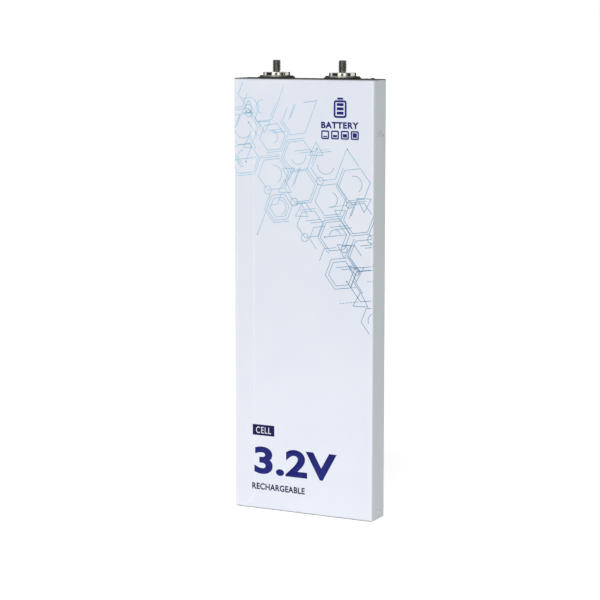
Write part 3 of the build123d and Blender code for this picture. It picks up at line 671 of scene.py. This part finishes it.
# -------- print
WORD_LIFT = PRINT_LIFT + 0.015 * MM  # of a word that lies on another print
CELL_BOX = (-39.0 * MM, -22.0 * MM, 52.4 * MM, 60.0 * MM)  # left, right, bottom, top, as for every box
SYMBOL_BOX = (23.4 * MM, 33.0 * MM, 274.2 * MM, 286.0 * MM)
SYMBOL_LINE = 1.35 * MM
SYMBOL_GAP = 0.9 * MM  # between the symbol's frame and its bars
BAR_HEIGHT, BAR_PITCH = 1.95 * MM, 2.85 * MM
NUB_HALF_WIDTH, NUB_LOW, NUB_HIGH = 2.2 * MM, 0.4 * MM, 1.7 * MM
LEVEL_LEFT, LEVEL_BOTTOM = 14.1 * MM, 259.8 * MM
LEVEL_SIZE, LEVEL_PITCH = 5.9 * MM, 7.36 * MM
LEVEL_LINE, LEVEL_GAP = 0.95 * MM, 0.45 * MM
LEVELS = 4
CORNER_PARTS = 5  # sides of a box's rounded corner
FLAP_CUTS, FLAP_CUT_PITCH = 7, 0.4 * MM  # cuts through the print where it crosses the flap's edge


def printed(name, mesh, ink, lift=PRINT_LIFT):
    """Lays a flat mesh, with X across and Y up, onto the label as a thin film of ink."""
    for vertex in mesh.vertices:
        vertex.co = on_label(vertex.co.x, vertex.co.y, lift)
    mesh.update()
    thicken(new_object(name, mesh, "label_white", ink), PRINT_THICKNESS, 0.0)


def cut_across_flap(mesh):
    """Cuts a flat mesh in strips where the label slopes, so that the ink follows it."""
    bm = bmesh.new()
    bm.from_mesh(mesh)
    for k in range(FLAP_CUTS):
        x = FLAP_RIGHT - FLAP_RAMP + k * FLAP_CUT_PITCH
        everything = [*bm.verts, *bm.edges, *bm.faces]
        bmesh.ops.bisect_plane(bm, geom=everything, plane_co=(x, 0, 0), plane_no=(1, 0, 0))
    bm.to_mesh(mesh)
    bm.free()


def lettering(text, left, right, bottom, top, weight, gap):
    """Flat mesh of generic text in Blender's own font, fitted to a box."""
    curve = bpy.data.curves.new(text, "FONT")
    curve.body = text
    curve.offset = weight
    curve.space_character = gap
    curve.resolution_u = 8
    writer = added(text, curve)
    bpy.context.view_layer.update()
    mesh = bpy.data.meshes.new_from_object(writer.evaluated_get(bpy.context.evaluated_depsgraph_get()))
    bpy.data.objects.remove(writer)
    for axis, low, high in ((0, left, right), (1, bottom, top)):
        places = [v.co[axis] for v in mesh.vertices]
        first, last = min(places), max(places)
        for v in mesh.vertices:
            v.co[axis] = low + (v.co[axis] - first) / (last - first) * (high - low)
    cut_across_flap(mesh)
    return mesh


def rounded_box(left, right, bottom, top, radius):
    """Outline of a box with rounded corners, anticlockwise."""
    points = []
    centres = (
        (right - radius, top - radius),
        (left + radius, top - radius),
        (left + radius, bottom + radius),
        (right - radius, bottom + radius),
    )
    for quarter, (x, z) in enumerate(centres):
        for k in range(CORNER_PARTS + 1):
            turn = math.pi / 2 * (quarter + k / CORNER_PARTS)
            points.append((x + radius * math.cos(turn), z + radius * math.sin(turn)))
    return points


def inset(box, gap):
    left, right, bottom, top = box
    return left + gap, right - gap, bottom + gap, top - gap


def flat_shape(name, *outlines):
    """Flat mesh of one filled outline or several."""
    mesh = bpy.data.meshes.new(name)
    bm = bmesh.new()
    for outline in outlines:
        bm.faces.new([bm.verts.new((x, z, 0)) for x, z in outline])
    bm.to_mesh(mesh)
    bm.free()
    cut_across_flap(mesh)
    return mesh


def flat_frame(name, outer, inner):
    """Flat mesh between two outlines that have the same number of points."""
    points = [(x, z, 0) for x, z in [*outer, *inner]]
    return mesh_from(name, points, grid_faces(len(outer), 2, closed=True), smooth=False)


def print_word(name, text, across, up, weight, gap, ink, lift=PRINT_LIFT):
    """A word that fills the ranges across and up, in millimetres."""
    left, right, bottom, top = (value * MM for value in (*across, *up))
    printed(name, lettering(text, left, right, bottom, top, weight, gap), ink, lift)


def make_words():
    """Generic text where the real cell has its names and ratings."""
    print_word("print_voltage", "3.2V", (-37.8, 26.3), (25.0, 44.5), 0.035, 1.04, "ink_navy")
    printed("print_kind_box", flat_shape("kind_box", rounded_box(*CELL_BOX, 0.3 * MM)), "ink_box")
    print_word("print_kind", "CELL", (-36.4, -24.6), (53.9, 58.5), 0.0, 1.12, "ink_white", WORD_LIFT)
    print_word("print_small", "RECHARGEABLE", (-39.5, 1.7), (13.8, 18.4), 0.030, 1.08, "ink_small")
    print_word("print_name", "BATTERY", (14.0, 42.0), (267.1, 271.5), 0.044, 1.12, "ink_navy")


def make_battery_symbol():
    """A plain battery: a frame, a nub on top of it and three bars in it."""
    outer = rounded_box(*SYMBOL_BOX, 1.8 * MM)
    inner = rounded_box(*inset(SYMBOL_BOX, SYMBOL_LINE), 0.6 * MM)
    printed("print_symbol_frame", flat_frame("symbol_frame", outer, inner), "ink_navy")
    left, right, _, top = SYMBOL_BOX
    middle = (left + right) / 2
    nub_left, nub_right = middle - NUB_HALF_WIDTH, middle + NUB_HALF_WIDTH
    nub = rounded_box(nub_left, nub_right, top + NUB_LOW, top + NUB_HIGH, 0.4 * MM)
    left, right, bottom, _ = inset(SYMBOL_BOX, SYMBOL_LINE + SYMBOL_GAP)
    lows = [bottom + k * BAR_PITCH for k in range(3)]
    bars = [rounded_box(left, right, low, low + BAR_HEIGHT, 0.25 * MM) for low in lows]
    printed("print_symbol_bars", flat_shape("symbol_bars", nub, *bars), "ink_navy")


def make_levels():
    """A row of boxes under the word, each filled higher than the last."""
    for k in range(LEVELS):
        x = LEVEL_LEFT + k * LEVEL_PITCH
        box = (x, x + LEVEL_SIZE, LEVEL_BOTTOM, LEVEL_BOTTOM + LEVEL_SIZE)
        outer = rounded_box(*box, 0.9 * MM)
        inner = rounded_box(*inset(box, LEVEL_LINE), 0.35 * MM)
        printed(f"print_level_frame_{k + 1}", flat_frame("level_frame", outer, inner), "ink_navy")
        left, right, bottom, top = inset(box, LEVEL_LINE + LEVEL_GAP)
        level = rounded_box(left, right, bottom, bottom + (top - bottom) * (k + 1) / LEVELS, 0.15 * MM)
        printed(f"print_level_{k + 1}", flat_shape("level", level), "ink_navy")


# -------- line art
LINE = 0.36 * MM
LEAN = math.radians(8)
CELL_SIZE = 12.4 * MM  # from the middle of a hexagon to its corners, before it is scaled
CELL_SCALES = (0.80, 0.90, 0.95)
CELL_GAP = 1.8 * MM  # between a hexagon's side and its double
CELL_SPACING = CELL_SIZE * math.sqrt(3) * 1.10
CELL_SCATTER = 2.2 * MM
CELL_REACH = 9  # rows and columns on each side of the middle cell
ART_HALF_WIDTH = 53 * MM
ART_MIDDLE = 226 * MM  # height of the middle cell
BAND_LOW, BAND_LOW_FALL = 234 * MM, 96 * MM  # the band's lower side: height at the left, fall
BAND_HIGH, BAND_HIGH_FALL = 320 * MM, 100 * MM  # its upper side
WORDS_LEFT, WORDS_BOTTOM = 13 * MM, 258 * MM  # the corner of the label that the words take up
WORDS_GAP = 1.5 * MM
ART_STEP = 0.8 * MM  # strokes are cut into parts this long
ART_OVERLAP = 0.35  # how far parts run past their ends, in line widths
ART_WRAP = 1.6 * MM  # how far the art runs round the upright edges
ART_MARGIN = 0.4 * MM
CIRCLE_SIDES = 40
DASHES = 7
DASH_START, DASH_PITCH, DASH_LENGTH, DASH_WIDTH = 2 * MM, 2.1 * MM, 1.1 * MM, 0.34 * MM

rng = random.Random(372)


def near_words(x, z, gap):
    """Whether a point is in the words' corner of the label, or within gap of it."""
    return x > WORDS_LEFT - gap and z > WORDS_BOTTOM - gap


def in_band(x, z):
    """Whether a cell is in the band, which falls from the upper left to the right."""
    across = (x + ART_HALF_WIDTH) / (2 * ART_HALF_WIDTH)
    inside = BAND_LOW - BAND_LOW_FALL * across < z < BAND_HIGH - BAND_HIGH_FALL * across
    return inside and not near_words(x, z, CELL_SIZE)


def line(strokes, points, width=LINE):
    """Adds a line through the points to the strokes, each a pair of ends and a width."""
    strokes += [(Vector(a), Vector(b), width) for a, b in zip(points, points[1:])]


def polygon(x, z, radius, sides, first=0, count=None, turn=0.0):
    """Points along some sides of a regular polygon that leans as the art does."""
    count = sides if count is None else count
    angles = [LEAN + turn + 2 * math.pi * (first + k) / sides for k in range(count + 1)]
    return [(x + radius * math.cos(a), z + radius * math.sin(a)) for a in angles]


def part_hexagon(x, z, radius, counts):
    """As many of a hexagon's sides as one of the counts, from a random corner."""
    return polygon(x, z, radius, 6, rng.randrange(6), rng.choice(counts))


def any_corner(x, z, size):
    return polygon(x, z, size, 6)[rng.randrange(6)]


def circle(x, z, radius, share=1.0, begin=0.0):
    return polygon(x, z, radius, CIRCLE_SIDES, round(CIRCLE_SIDES * begin), round(CIRCLE_SIDES * share))


def ray(x, z, degrees, near, far):
    """Two points on a line that leaves (x, z) at an angle to the art's lean."""
    way = LEAN + math.radians(degrees)
    return [(x + r * math.cos(way), z + r * math.sin(way)) for r in (near, far)]


def draw_cell(strokes, x, z, size):
    """A hexagon with some sides doubled, outside it and sometimes inside."""
    line(strokes, part_hexagon(x, z, size, (5, 6, 6, 6)))
    line(strokes, part_hexagon(x, z, size + CELL_GAP, (1, 2, 3)))
    if rng.random() < 0.45:
        line(strokes, part_hexagon(x, z, size - 1.4 * CELL_GAP, (2, 3, 6)))


def draw_open(strokes, x, z, size):
    """Part of a hexagon whose last side runs on."""
    points = part_hexagon(x, z, size, (2, 3))
    ahead = Vector(points[-1]) - Vector(points[-2])
    line(strokes, [*points[:-1], tuple(Vector(points[-1]) + ahead * rng.uniform(0.3, 1.3))])
    line(strokes, part_hexagon(x, z, size - CELL_GAP, (1, 2)))


def draw_triangle(strokes, x, z, size):
    corner = any_corner(x, z, size)
    radius = rng.uniform(4.8, 6.6) * MM
    line(strokes, polygon(*corner, radius, 3, turn=math.radians(rng.choice((22, 82)))))


def draw_circle(strokes, x, z, size):
    line(strokes, circle(*any_corner(x, z, size), rng.uniform(2.0, 2.9) * MM))


def draw_arc(strokes, x, z, size):
    line(strokes, circle(x, z, size * rng.uniform(0.35, 0.55), 0.45, rng.random()))


def draw_tail(strokes, x, z, size):
    """A line that leads away from a corner and ends in a dot."""
    corner = any_corner(x, z, size)
    tail = ray(*corner, rng.choice((0, 60, 120, 180, 240, 300)), 2 * MM, rng.uniform(12, 20) * MM)
    line(strokes, tail)
    line(strokes, circle(*tail[1], 0.3 * MM))


def draw_bars(strokes, x, z, size):
    """Two lines side by side, one set back from the other."""
    degrees = rng.choice((0, 60, 120))
    middle_x, middle_z = ray(x, z, degrees + 90, 0, size * rng.uniform(0.1, 0.6))[1]
    reach = size * rng.uniform(0.6, 1.0)
    line(strokes, ray(middle_x, middle_z, degrees, -0.3 * reach, reach))
    line(strokes, ray(middle_x, middle_z - CELL_GAP, degrees, 0.1 * reach, 1.3 * reach))


def draw_neighbour(strokes, x, z, size):
    """Part of a smaller hexagon about a corner."""
    line(strokes, part_hexagon(*any_corner(x, z, size), 0.75 * size, (2, 3)))


def draw_dashes(strokes, x, z, size):
    corner = any_corner(x, z, size)
    degrees = rng.choice((0, 60, 180))
    for k in range(DASHES):
        start = DASH_START + k * DASH_PITCH
        line(strokes, ray(*corner, degrees, start, start + DASH_LENGTH), DASH_WIDTH)


EXTRAS = (  # what may be drawn with a cell, and how likely it is
    (draw_triangle, 0.50),
    (draw_circle, 0.45),
    (draw_arc, 0.40),
    (draw_tail, 0.50),
    (draw_bars, 0.60),
    (draw_neighbour, 0.55),
    (draw_dashes, 0.42),
)


def art_strokes():
    """Cells on a scattered hexagonal grid, where it is in the band."""
    strokes = []
    across, up = LEAN + math.radians(30), LEAN + math.radians(90)
    for row in range(-CELL_REACH, CELL_REACH + 1):
        for column in range(-CELL_REACH, CELL_REACH + 1):
            x = CELL_SPACING * (column * math.cos(across) + row * math.cos(up))
            z = CELL_SPACING * (column * math.sin(across) + row * math.sin(up)) + ART_MIDDLE
            x += rng.uniform(-CELL_SCATTER, CELL_SCATTER)
            z += rng.uniform(-CELL_SCATTER, CELL_SCATTER)
            size = CELL_SIZE * rng.choice(CELL_SCALES)
            motif = rng.choice((draw_cell, draw_cell, draw_cell, draw_open))
            if not in_band(x, z):
                continue
            motif(strokes, x, z, size)
            for extra, odds in EXTRAS:
                if rng.random() < odds:
                    extra(strokes, x, z, size)
    return strokes


def on_art(x, z):
    """Whether a point is on the label's front, off its ends and clear of the words."""
    inside = abs(x) <= LABEL_FLAT + ART_WRAP and label_low.z + ART_MARGIN < z < label_high.z - ART_MARGIN
    return inside and not near_words(x, z, WORDS_GAP)


def make_art():
    points, faces = [], []
    for begin, end, width in art_strokes():
        length = (end - begin).length
        along = (end - begin) / length
        side = Vector((-along.y, along.x)) * width / 2
        count = max(1, math.ceil(length / ART_STEP))
        for k in range(count):
            a = begin + along * (length * k / count - ART_OVERLAP * width)
            b = begin + along * (length * (k + 1) / count + ART_OVERLAP * width)
            if on_art(*((a + b) / 2)):
                faces.append(tuple(range(len(points), len(points) + 4)))
                points += [(*corner, 0) for corner in (a - side, b - side, b + side, a + side)]
    printed("print_art", mesh_from("art", points, faces, smooth=False), "art_ink", PRINT_LIFT * 0.8)


# -------- threaded studs
THREAD_PITCH = 1.0 * MM
THREAD_RADIUS = 2.94 * MM
THREAD_DEPTH = 0.58 * MM
THREAD_ROOT = THREAD_RADIUS - THREAD_DEPTH
THREAD_AROUND = 64
THREAD_STEPS = 10  # rings of points in one turn of the thread
CREST_SHARE, FLANK_SHARE = 0.12, 0.68  # of the way from the crest's middle to the root's
CHAMFER_DEPTH = 0.15 * MM  # how far below the root a chamfer starts
CHAMFER_SLOPE = 1.1
FLANGE_THICKNESS = 2.2 * MM
FLANGE_EDGE = 0.3 * MM  # radius of the flange's upper edge; the lower one's is half that
FLANGE_ARC_PARTS = 4
BARE_NECK = 0.9 * MM  # between the flange and the first turn of the thread
SQUARE_NECK_HALF = 4.0 * MM
INNER_THREAD_TOP = 6 * MM  # above the lid's lowest point
CREASE_ANGLE = math.radians(40)
SQUARE = ((-1, -1), (1, -1), (1, 1), (-1, 1))
BOX_FACES = ((3, 2, 1, 0), (4, 5, 6, 7), (0, 1, 5, 4), (1, 2, 6, 5), (2, 3, 7, 6), (3, 0, 4, 7))


def thread_radius(turn, z):
    """Radius of a rolled 60 degree thread at an angle, in turns, and a height."""
    phase = (z / THREAD_PITCH - turn) % 1.0
    away = abs(phase - 0.5) * 2  # 0 at the crest and 1 at the root
    return THREAD_RADIUS - THREAD_DEPTH * smoothstep(0.0, 1.0, (away - CREST_SHARE) / FLANK_SHARE)


def lathe(points, faces, x, profile, radius_at=None):
    """Adds a turned solid; profile is (radius, z) from the bottom to the top."""
    offset = len(points)
    for radius, z in profile:
        for k in range(THREAD_AROUND):
            turn = k / THREAD_AROUND
            r = min(radius, radius_at(turn, z)) if radius_at else radius
            points.append((x + r * math.cos(2 * math.pi * turn), r * math.sin(2 * math.pi * turn), z))
    last = offset + (len(profile) - 1) * THREAD_AROUND
    faces += grid_faces(THREAD_AROUND, len(profile), closed=True, offset=offset)
    faces.append(tuple(offset + k for k in reversed(range(THREAD_AROUND))))
    faces.append(tuple(last + k for k in range(THREAD_AROUND)))


def threaded_profile(low, high, cut_low=False, cut_high=False):
    """Outer limit of a threaded length, chamfered at the ends that are cut."""
    count = math.ceil((high - low) / (THREAD_PITCH / THREAD_STEPS))
    profile = []
    for k in range(count + 1):
        z = low + (high - low) * k / count
        from_end = min(z - low if cut_low else 1.0, high - z if cut_high else 1.0)
        profile.append((min(THREAD_RADIUS, THREAD_ROOT - CHAMFER_DEPTH + from_end * CHAMFER_SLOPE), z))
    return profile


def flange_profile(rim, bottom, top):
    """The round flange: rounded edges, and a fillet up to the neck."""
    turns = [math.pi / 2 * k / FLANGE_ARC_PARTS for k in range(FLANGE_ARC_PARTS + 1)]
    arc = [(math.sin(turn), 1 - math.cos(turn)) for turn in turns]
    half = 0.5 * FLANGE_EDGE
    profile = [(rim - half * (1 - u), bottom + half * v) for u, v in arc]
    profile += [(rim, bottom + 1.2 * half), (rim, top - 1.1 * FLANGE_EDGE)]
    profile += [(rim - FLANGE_EDGE * v, top - FLANGE_EDGE * (1 - u)) for u, v in arc]
    profile += [
        (rim - 1.1 * FLANGE_EDGE, top),
        (THREAD_ROOT + 1.2 * MM, top - 0.02 * MM),
        (THREAD_ROOT + 0.25 * MM, top + 0.02 * MM),
        (THREAD_ROOT - 0.05 * MM, top + 0.3 * MM),
    ]
    return profile


def make_stud(side):
    """Thread and bare neck above the flange, and a square neck and thread below it."""
    low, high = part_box(f"{side}_stud")
    x = (low.x + high.x) / 2
    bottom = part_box(f"{side}_contact_plate")[1].z
    top = bottom + FLANGE_THICKNESS
    points, faces = [], []
    lathe(points, faces, x, threaded_profile(top + BARE_NECK, high.z, cut_high=True), thread_radius)
    lathe(points, faces, x, [(THREAD_ROOT, top - 0.2 * MM), (THREAD_ROOT, top + BARE_NECK + 0.05 * MM)])
    thread_end = len(faces)
    lathe(points, faces, x, flange_profile((high.x - low.x) / 2, bottom, top))
    flange_end = len(faces)
    inner_thread = threaded_profile(low.z, lid_low.z + INNER_THREAD_TOP, cut_low=True)
    lathe(points, faces, x, inner_thread, thread_radius)
    offset = len(points)
    for z in (lid_high.z - 0.35 * MM, bottom + 0.1 * MM):
        points += [(x + SQUARE_NECK_HALF * a, SQUARE_NECK_HALF * b, z) for a, b in SQUARE]
    faces += [tuple(offset + corner for corner in face) for face in BOX_FACES]
    name = f"{side}_threaded_stud"
    stud = new_object(name, mesh_from(name, points, faces), "plated_steel", "plated_steel", "polished_flange")
    for index, face in enumerate(stud.data.polygons):
        face.material_index = 1 if thread_end <= index < flange_end else 0
    stud.modifiers.new("crisp edges", "EDGE_SPLIT").split_angle = CREASE_ANGLE
    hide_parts(f"{side}_stud")


# -------- foam pads
PAD_ROUNDING = 0.22  # radius of the knife-rounded edges, in thicknesses
PAD_CUT = 6 * MM  # the faces are divided about this finely
PAD_MOST_CUTS = 40
PAD_SWELL = 0.04  # average depth of the dips, in half thicknesses
PAD_SWELL_SIZE = 9 * MM


def make_pad(name):
    """A cut foam sheet: edges rounded over by the knife, faces a little uneven."""
    low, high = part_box(name)
    size = high - low
    middle = (low + high) / 2
    thin = min(range(3), key=lambda axis: size[axis])
    mesh = bpy.data.meshes.new(f"{name}_foam")
    bm = bmesh.new()
    bmesh.ops.create_cube(bm, size=1.0)
    for v in bm.verts:
        v.co = Vector(low[axis] + (v.co[axis] + 0.5) * size[axis] for axis in range(3))
    rounding = PAD_ROUNDING * size[thin]
    bmesh.ops.bevel(bm, geom=[*bm.verts, *bm.edges], offset=rounding, segments=3, affect="EDGES", profile=0.6)
    for axis in range(3):
        if axis == thin:
            continue
        cuts = min(PAD_MOST_CUTS, math.ceil(size[axis] / PAD_CUT))
        normal = Vector(1 if each == axis else 0 for each in range(3))
        for k in range(1, cuts):
            place = normal * (low[axis] + size[axis] * k / cuts)
            everything = [*bm.verts, *bm.edges, *bm.faces]
            bmesh.ops.bisect_plane(bm, geom=everything, plane_co=place, plane_no=normal)
    for v in bm.verts:
        v.co[thin] += (v.co[thin] - middle[thin]) * PAD_SWELL * (noise.noise(v.co / PAD_SWELL_SIZE) - 1)
    bm.to_mesh(mesh)
    bm.free()
    mesh.polygons.foreach_set("use_smooth", [True] * len(mesh.polygons))
    pad = new_object(f"{name}_foam", mesh, "pad_foam")
    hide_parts(name)


# -------- floor, light and camera
FLOOR_RADIUS = 60.0
FLOOR_GLOW = 0.64
AMBIENT = 0.26
STUDIO_BANDS = (  # what a mirror sees: from, to, in degrees from -Y towards +X, and brightness
    (-180, -99, 0.03),
    (-99, -72, 1.0),
    (-72, -13, 0.03),
    (-13, 12, 1.5),
    (12, 33, 0.16),
    (33, 52, 1.4),
    (52, 66, 0.4),
    (66, 98, 0.03),
    (98, 150, 0.9),
    (150, 180, 0.03),
)
BAND_BLUR = 2.5  # degrees at each end of a band that blend into the next
BAND_WARMTH = 0.97  # blue in a band, for each unit of red and green
GREY_ABOVE, ABOVE_START, ABOVE_END = 0.55, 0.30, 0.75  # brightness overhead, and where it fades in
GREY_BELOW, BELOW_START, BELOW_END = 0.85, -0.08, -0.28  # the same below the horizon
WHITE = (1.0, 1.0, 1.0, 1.0)
BROW_COLOUR = (0.86, 0.94, 1.0)
CAMERA_PLACE = (0.614990, -1.209275, 0.335536)
CAMERA_DOWN, CAMERA_ROUND = 7.852, 27.223  # degrees below level, and round from -Y towards +X
CAMERA_LENS, CAMERA_SENSOR = 119.51, 36.0


def make_floor():
    mesh = bpy.data.meshes.new("floor")
    bm = bmesh.new()
    bmesh.ops.create_circle(bm, cap_ends=True, radius=FLOOR_RADIUS, segments=96)
    bm.to_mesh(mesh)
    bm.free()
    look = Look("floor_white", Roughness=0.9, Emission_Color=WHITE, Emission_Strength=FLOOR_GLOW)
    look.colour(look.mix(look.noise(0.3, detail=2.0), (0.84, 0.84, 0.84), (0.87, 0.87, 0.87)))
    dress(mesh, "floor_white")
    floor = added("floor", mesh)
    floor.visible_glossy = False


def aim(holder, direction, axis):
    holder.rotation_mode = "QUATERNION"
    holder.rotation_quaternion = Vector(direction).to_track_quat(axis, "Y")


def sun_light(name, towards, strength, spread):
    """A sun that lies towards that direction and is spread degrees wide."""
    lamp = bpy.data.lights.new(name, "SUN")
    lamp.energy = strength
    lamp.angle = math.radians(spread)
    aim(added(name, lamp), towards, "Z")


def strip_light(name, place, target, power, colour=(1, 1, 1)):
    """A low, wide panel that lights part of the front and shows in nothing."""
    lamp = bpy.data.lights.new(name, "AREA")
    lamp.shape = "RECTANGLE"
    lamp.size = 0.30
    lamp.size_y = 0.08
    lamp.energy = power
    lamp.color = colour
    holder = added(name, lamp)
    holder.location = place
    holder.visible_camera = False
    holder.visible_glossy = False
    aim(holder, Vector(target) - Vector(place), "-Z")


def fill_ramp(ramp):
    """Puts the studio bands in a ramp that runs once round the horizon."""
    stops = []
    for start, end, level in STUDIO_BANDS:
        stops += [(start + BAND_BLUR, level), (end - BAND_BLUR, level)]
    ramp.elements.remove(ramp.elements[0])
    for k, (degrees, level) in enumerate(stops):
        place = (degrees + 180) / 360
        element = ramp.elements[0] if k == 0 else ramp.elements.new(place)
        element.position = place
        element.color = (level, level, level * BAND_WARMTH, 1)


def make_world():
    """White to the camera, soft grey to diffuse light, bands in reflections."""
    world = bpy.data.worlds.new("studio")
    world.use_nodes = True
    bpy.context.scene.world = world
    world.node_tree.nodes.clear()
    sky = Nodes(world.node_tree)
    path = sky.node("ShaderNodeLightPath").outputs

    def background(colour, strength):
        return sky.node("ShaderNodeBackground", {"Color": colour, "Strength": strength}).outputs[0]

    def chosen(kind_of_ray, otherwise, shader):
        shaders = {0: path[kind_of_ray], 1: otherwise, 2: shader}
        return sky.node("ShaderNodeMixShader", shaders).outputs[0]

    axes = sky.axes(sky.node("ShaderNodeTexCoord").outputs["Generated"])
    bearing = sky.maths("ARCTAN2", axes["X"], sky.maths("MULTIPLY", axes["Y"], -1.0))
    bands = sky.node("ShaderNodeValToRGB", {"Fac": sky.fit(bearing, -math.pi, math.pi)})
    fill_ramp(bands.color_ramp)
    upwards = sky.fit(axes["Z"], ABOVE_START, ABOVE_END, easing="SMOOTHSTEP")
    downwards = sky.fit(axes["Z"], BELOW_START, BELOW_END, easing="SMOOTHSTEP")
    above = sky.mix(upwards, bands.outputs["Color"], (GREY_ABOVE,) * 3)
    mirrored = background(sky.mix(downwards, above, (GREY_BELOW,) * 3), 1.0)
    unseen = chosen("Is Glossy Ray", background(WHITE, AMBIENT), mirrored)
    seen = chosen("Is Camera Ray", unseen, background(WHITE, 1.0))
    sky.node("ShaderNodeOutputWorld", {"Surface": seen})


def make_camera():
    lens = bpy.data.cameras.new("camera")
    lens.sensor_width = CAMERA_SENSOR
    lens.lens = CAMERA_LENS
    lens.clip_start = 0.05
    lens.clip_end = FLOOR_RADIUS
    eye = added("camera", lens)
    eye.location = CAMERA_PLACE
    eye.rotation_euler = Euler((math.radians(90 - CAMERA_DOWN), 0.0, math.radians(CAMERA_ROUND)))
    bpy.context.scene.camera = eye


# -------- everything, in order
make_materials()
dress_frame()
make_label()
make_film()
make_scuffs()
make_flap()
make_words()
make_battery_symbol()
make_levels()
make_art()
for side in ("negative", "positive"):
    make_stud(side)
for pad_name in ("front_pad", "rear_pad", "base_pad"):
    make_pad(pad_name)

make_floor()
make_world()
sun_light("key", (0.13, -0.80, 0.58), 0.96, 40.0)
sun_light("back", (-0.50, 0.75, 0.45), 0.45, 60.0)
strip_light("foot", (0.0, -0.16, 0.03), (0.0, 0.0, 0.015), 0.036)
strip_light("brow", (0.0, -0.20, 0.34), (0.0, 0.0, 0.29), 0.034, BROW_COLOUR)
make_camera()
bpy.context.scene.view_settings.view_transform = "Standard"
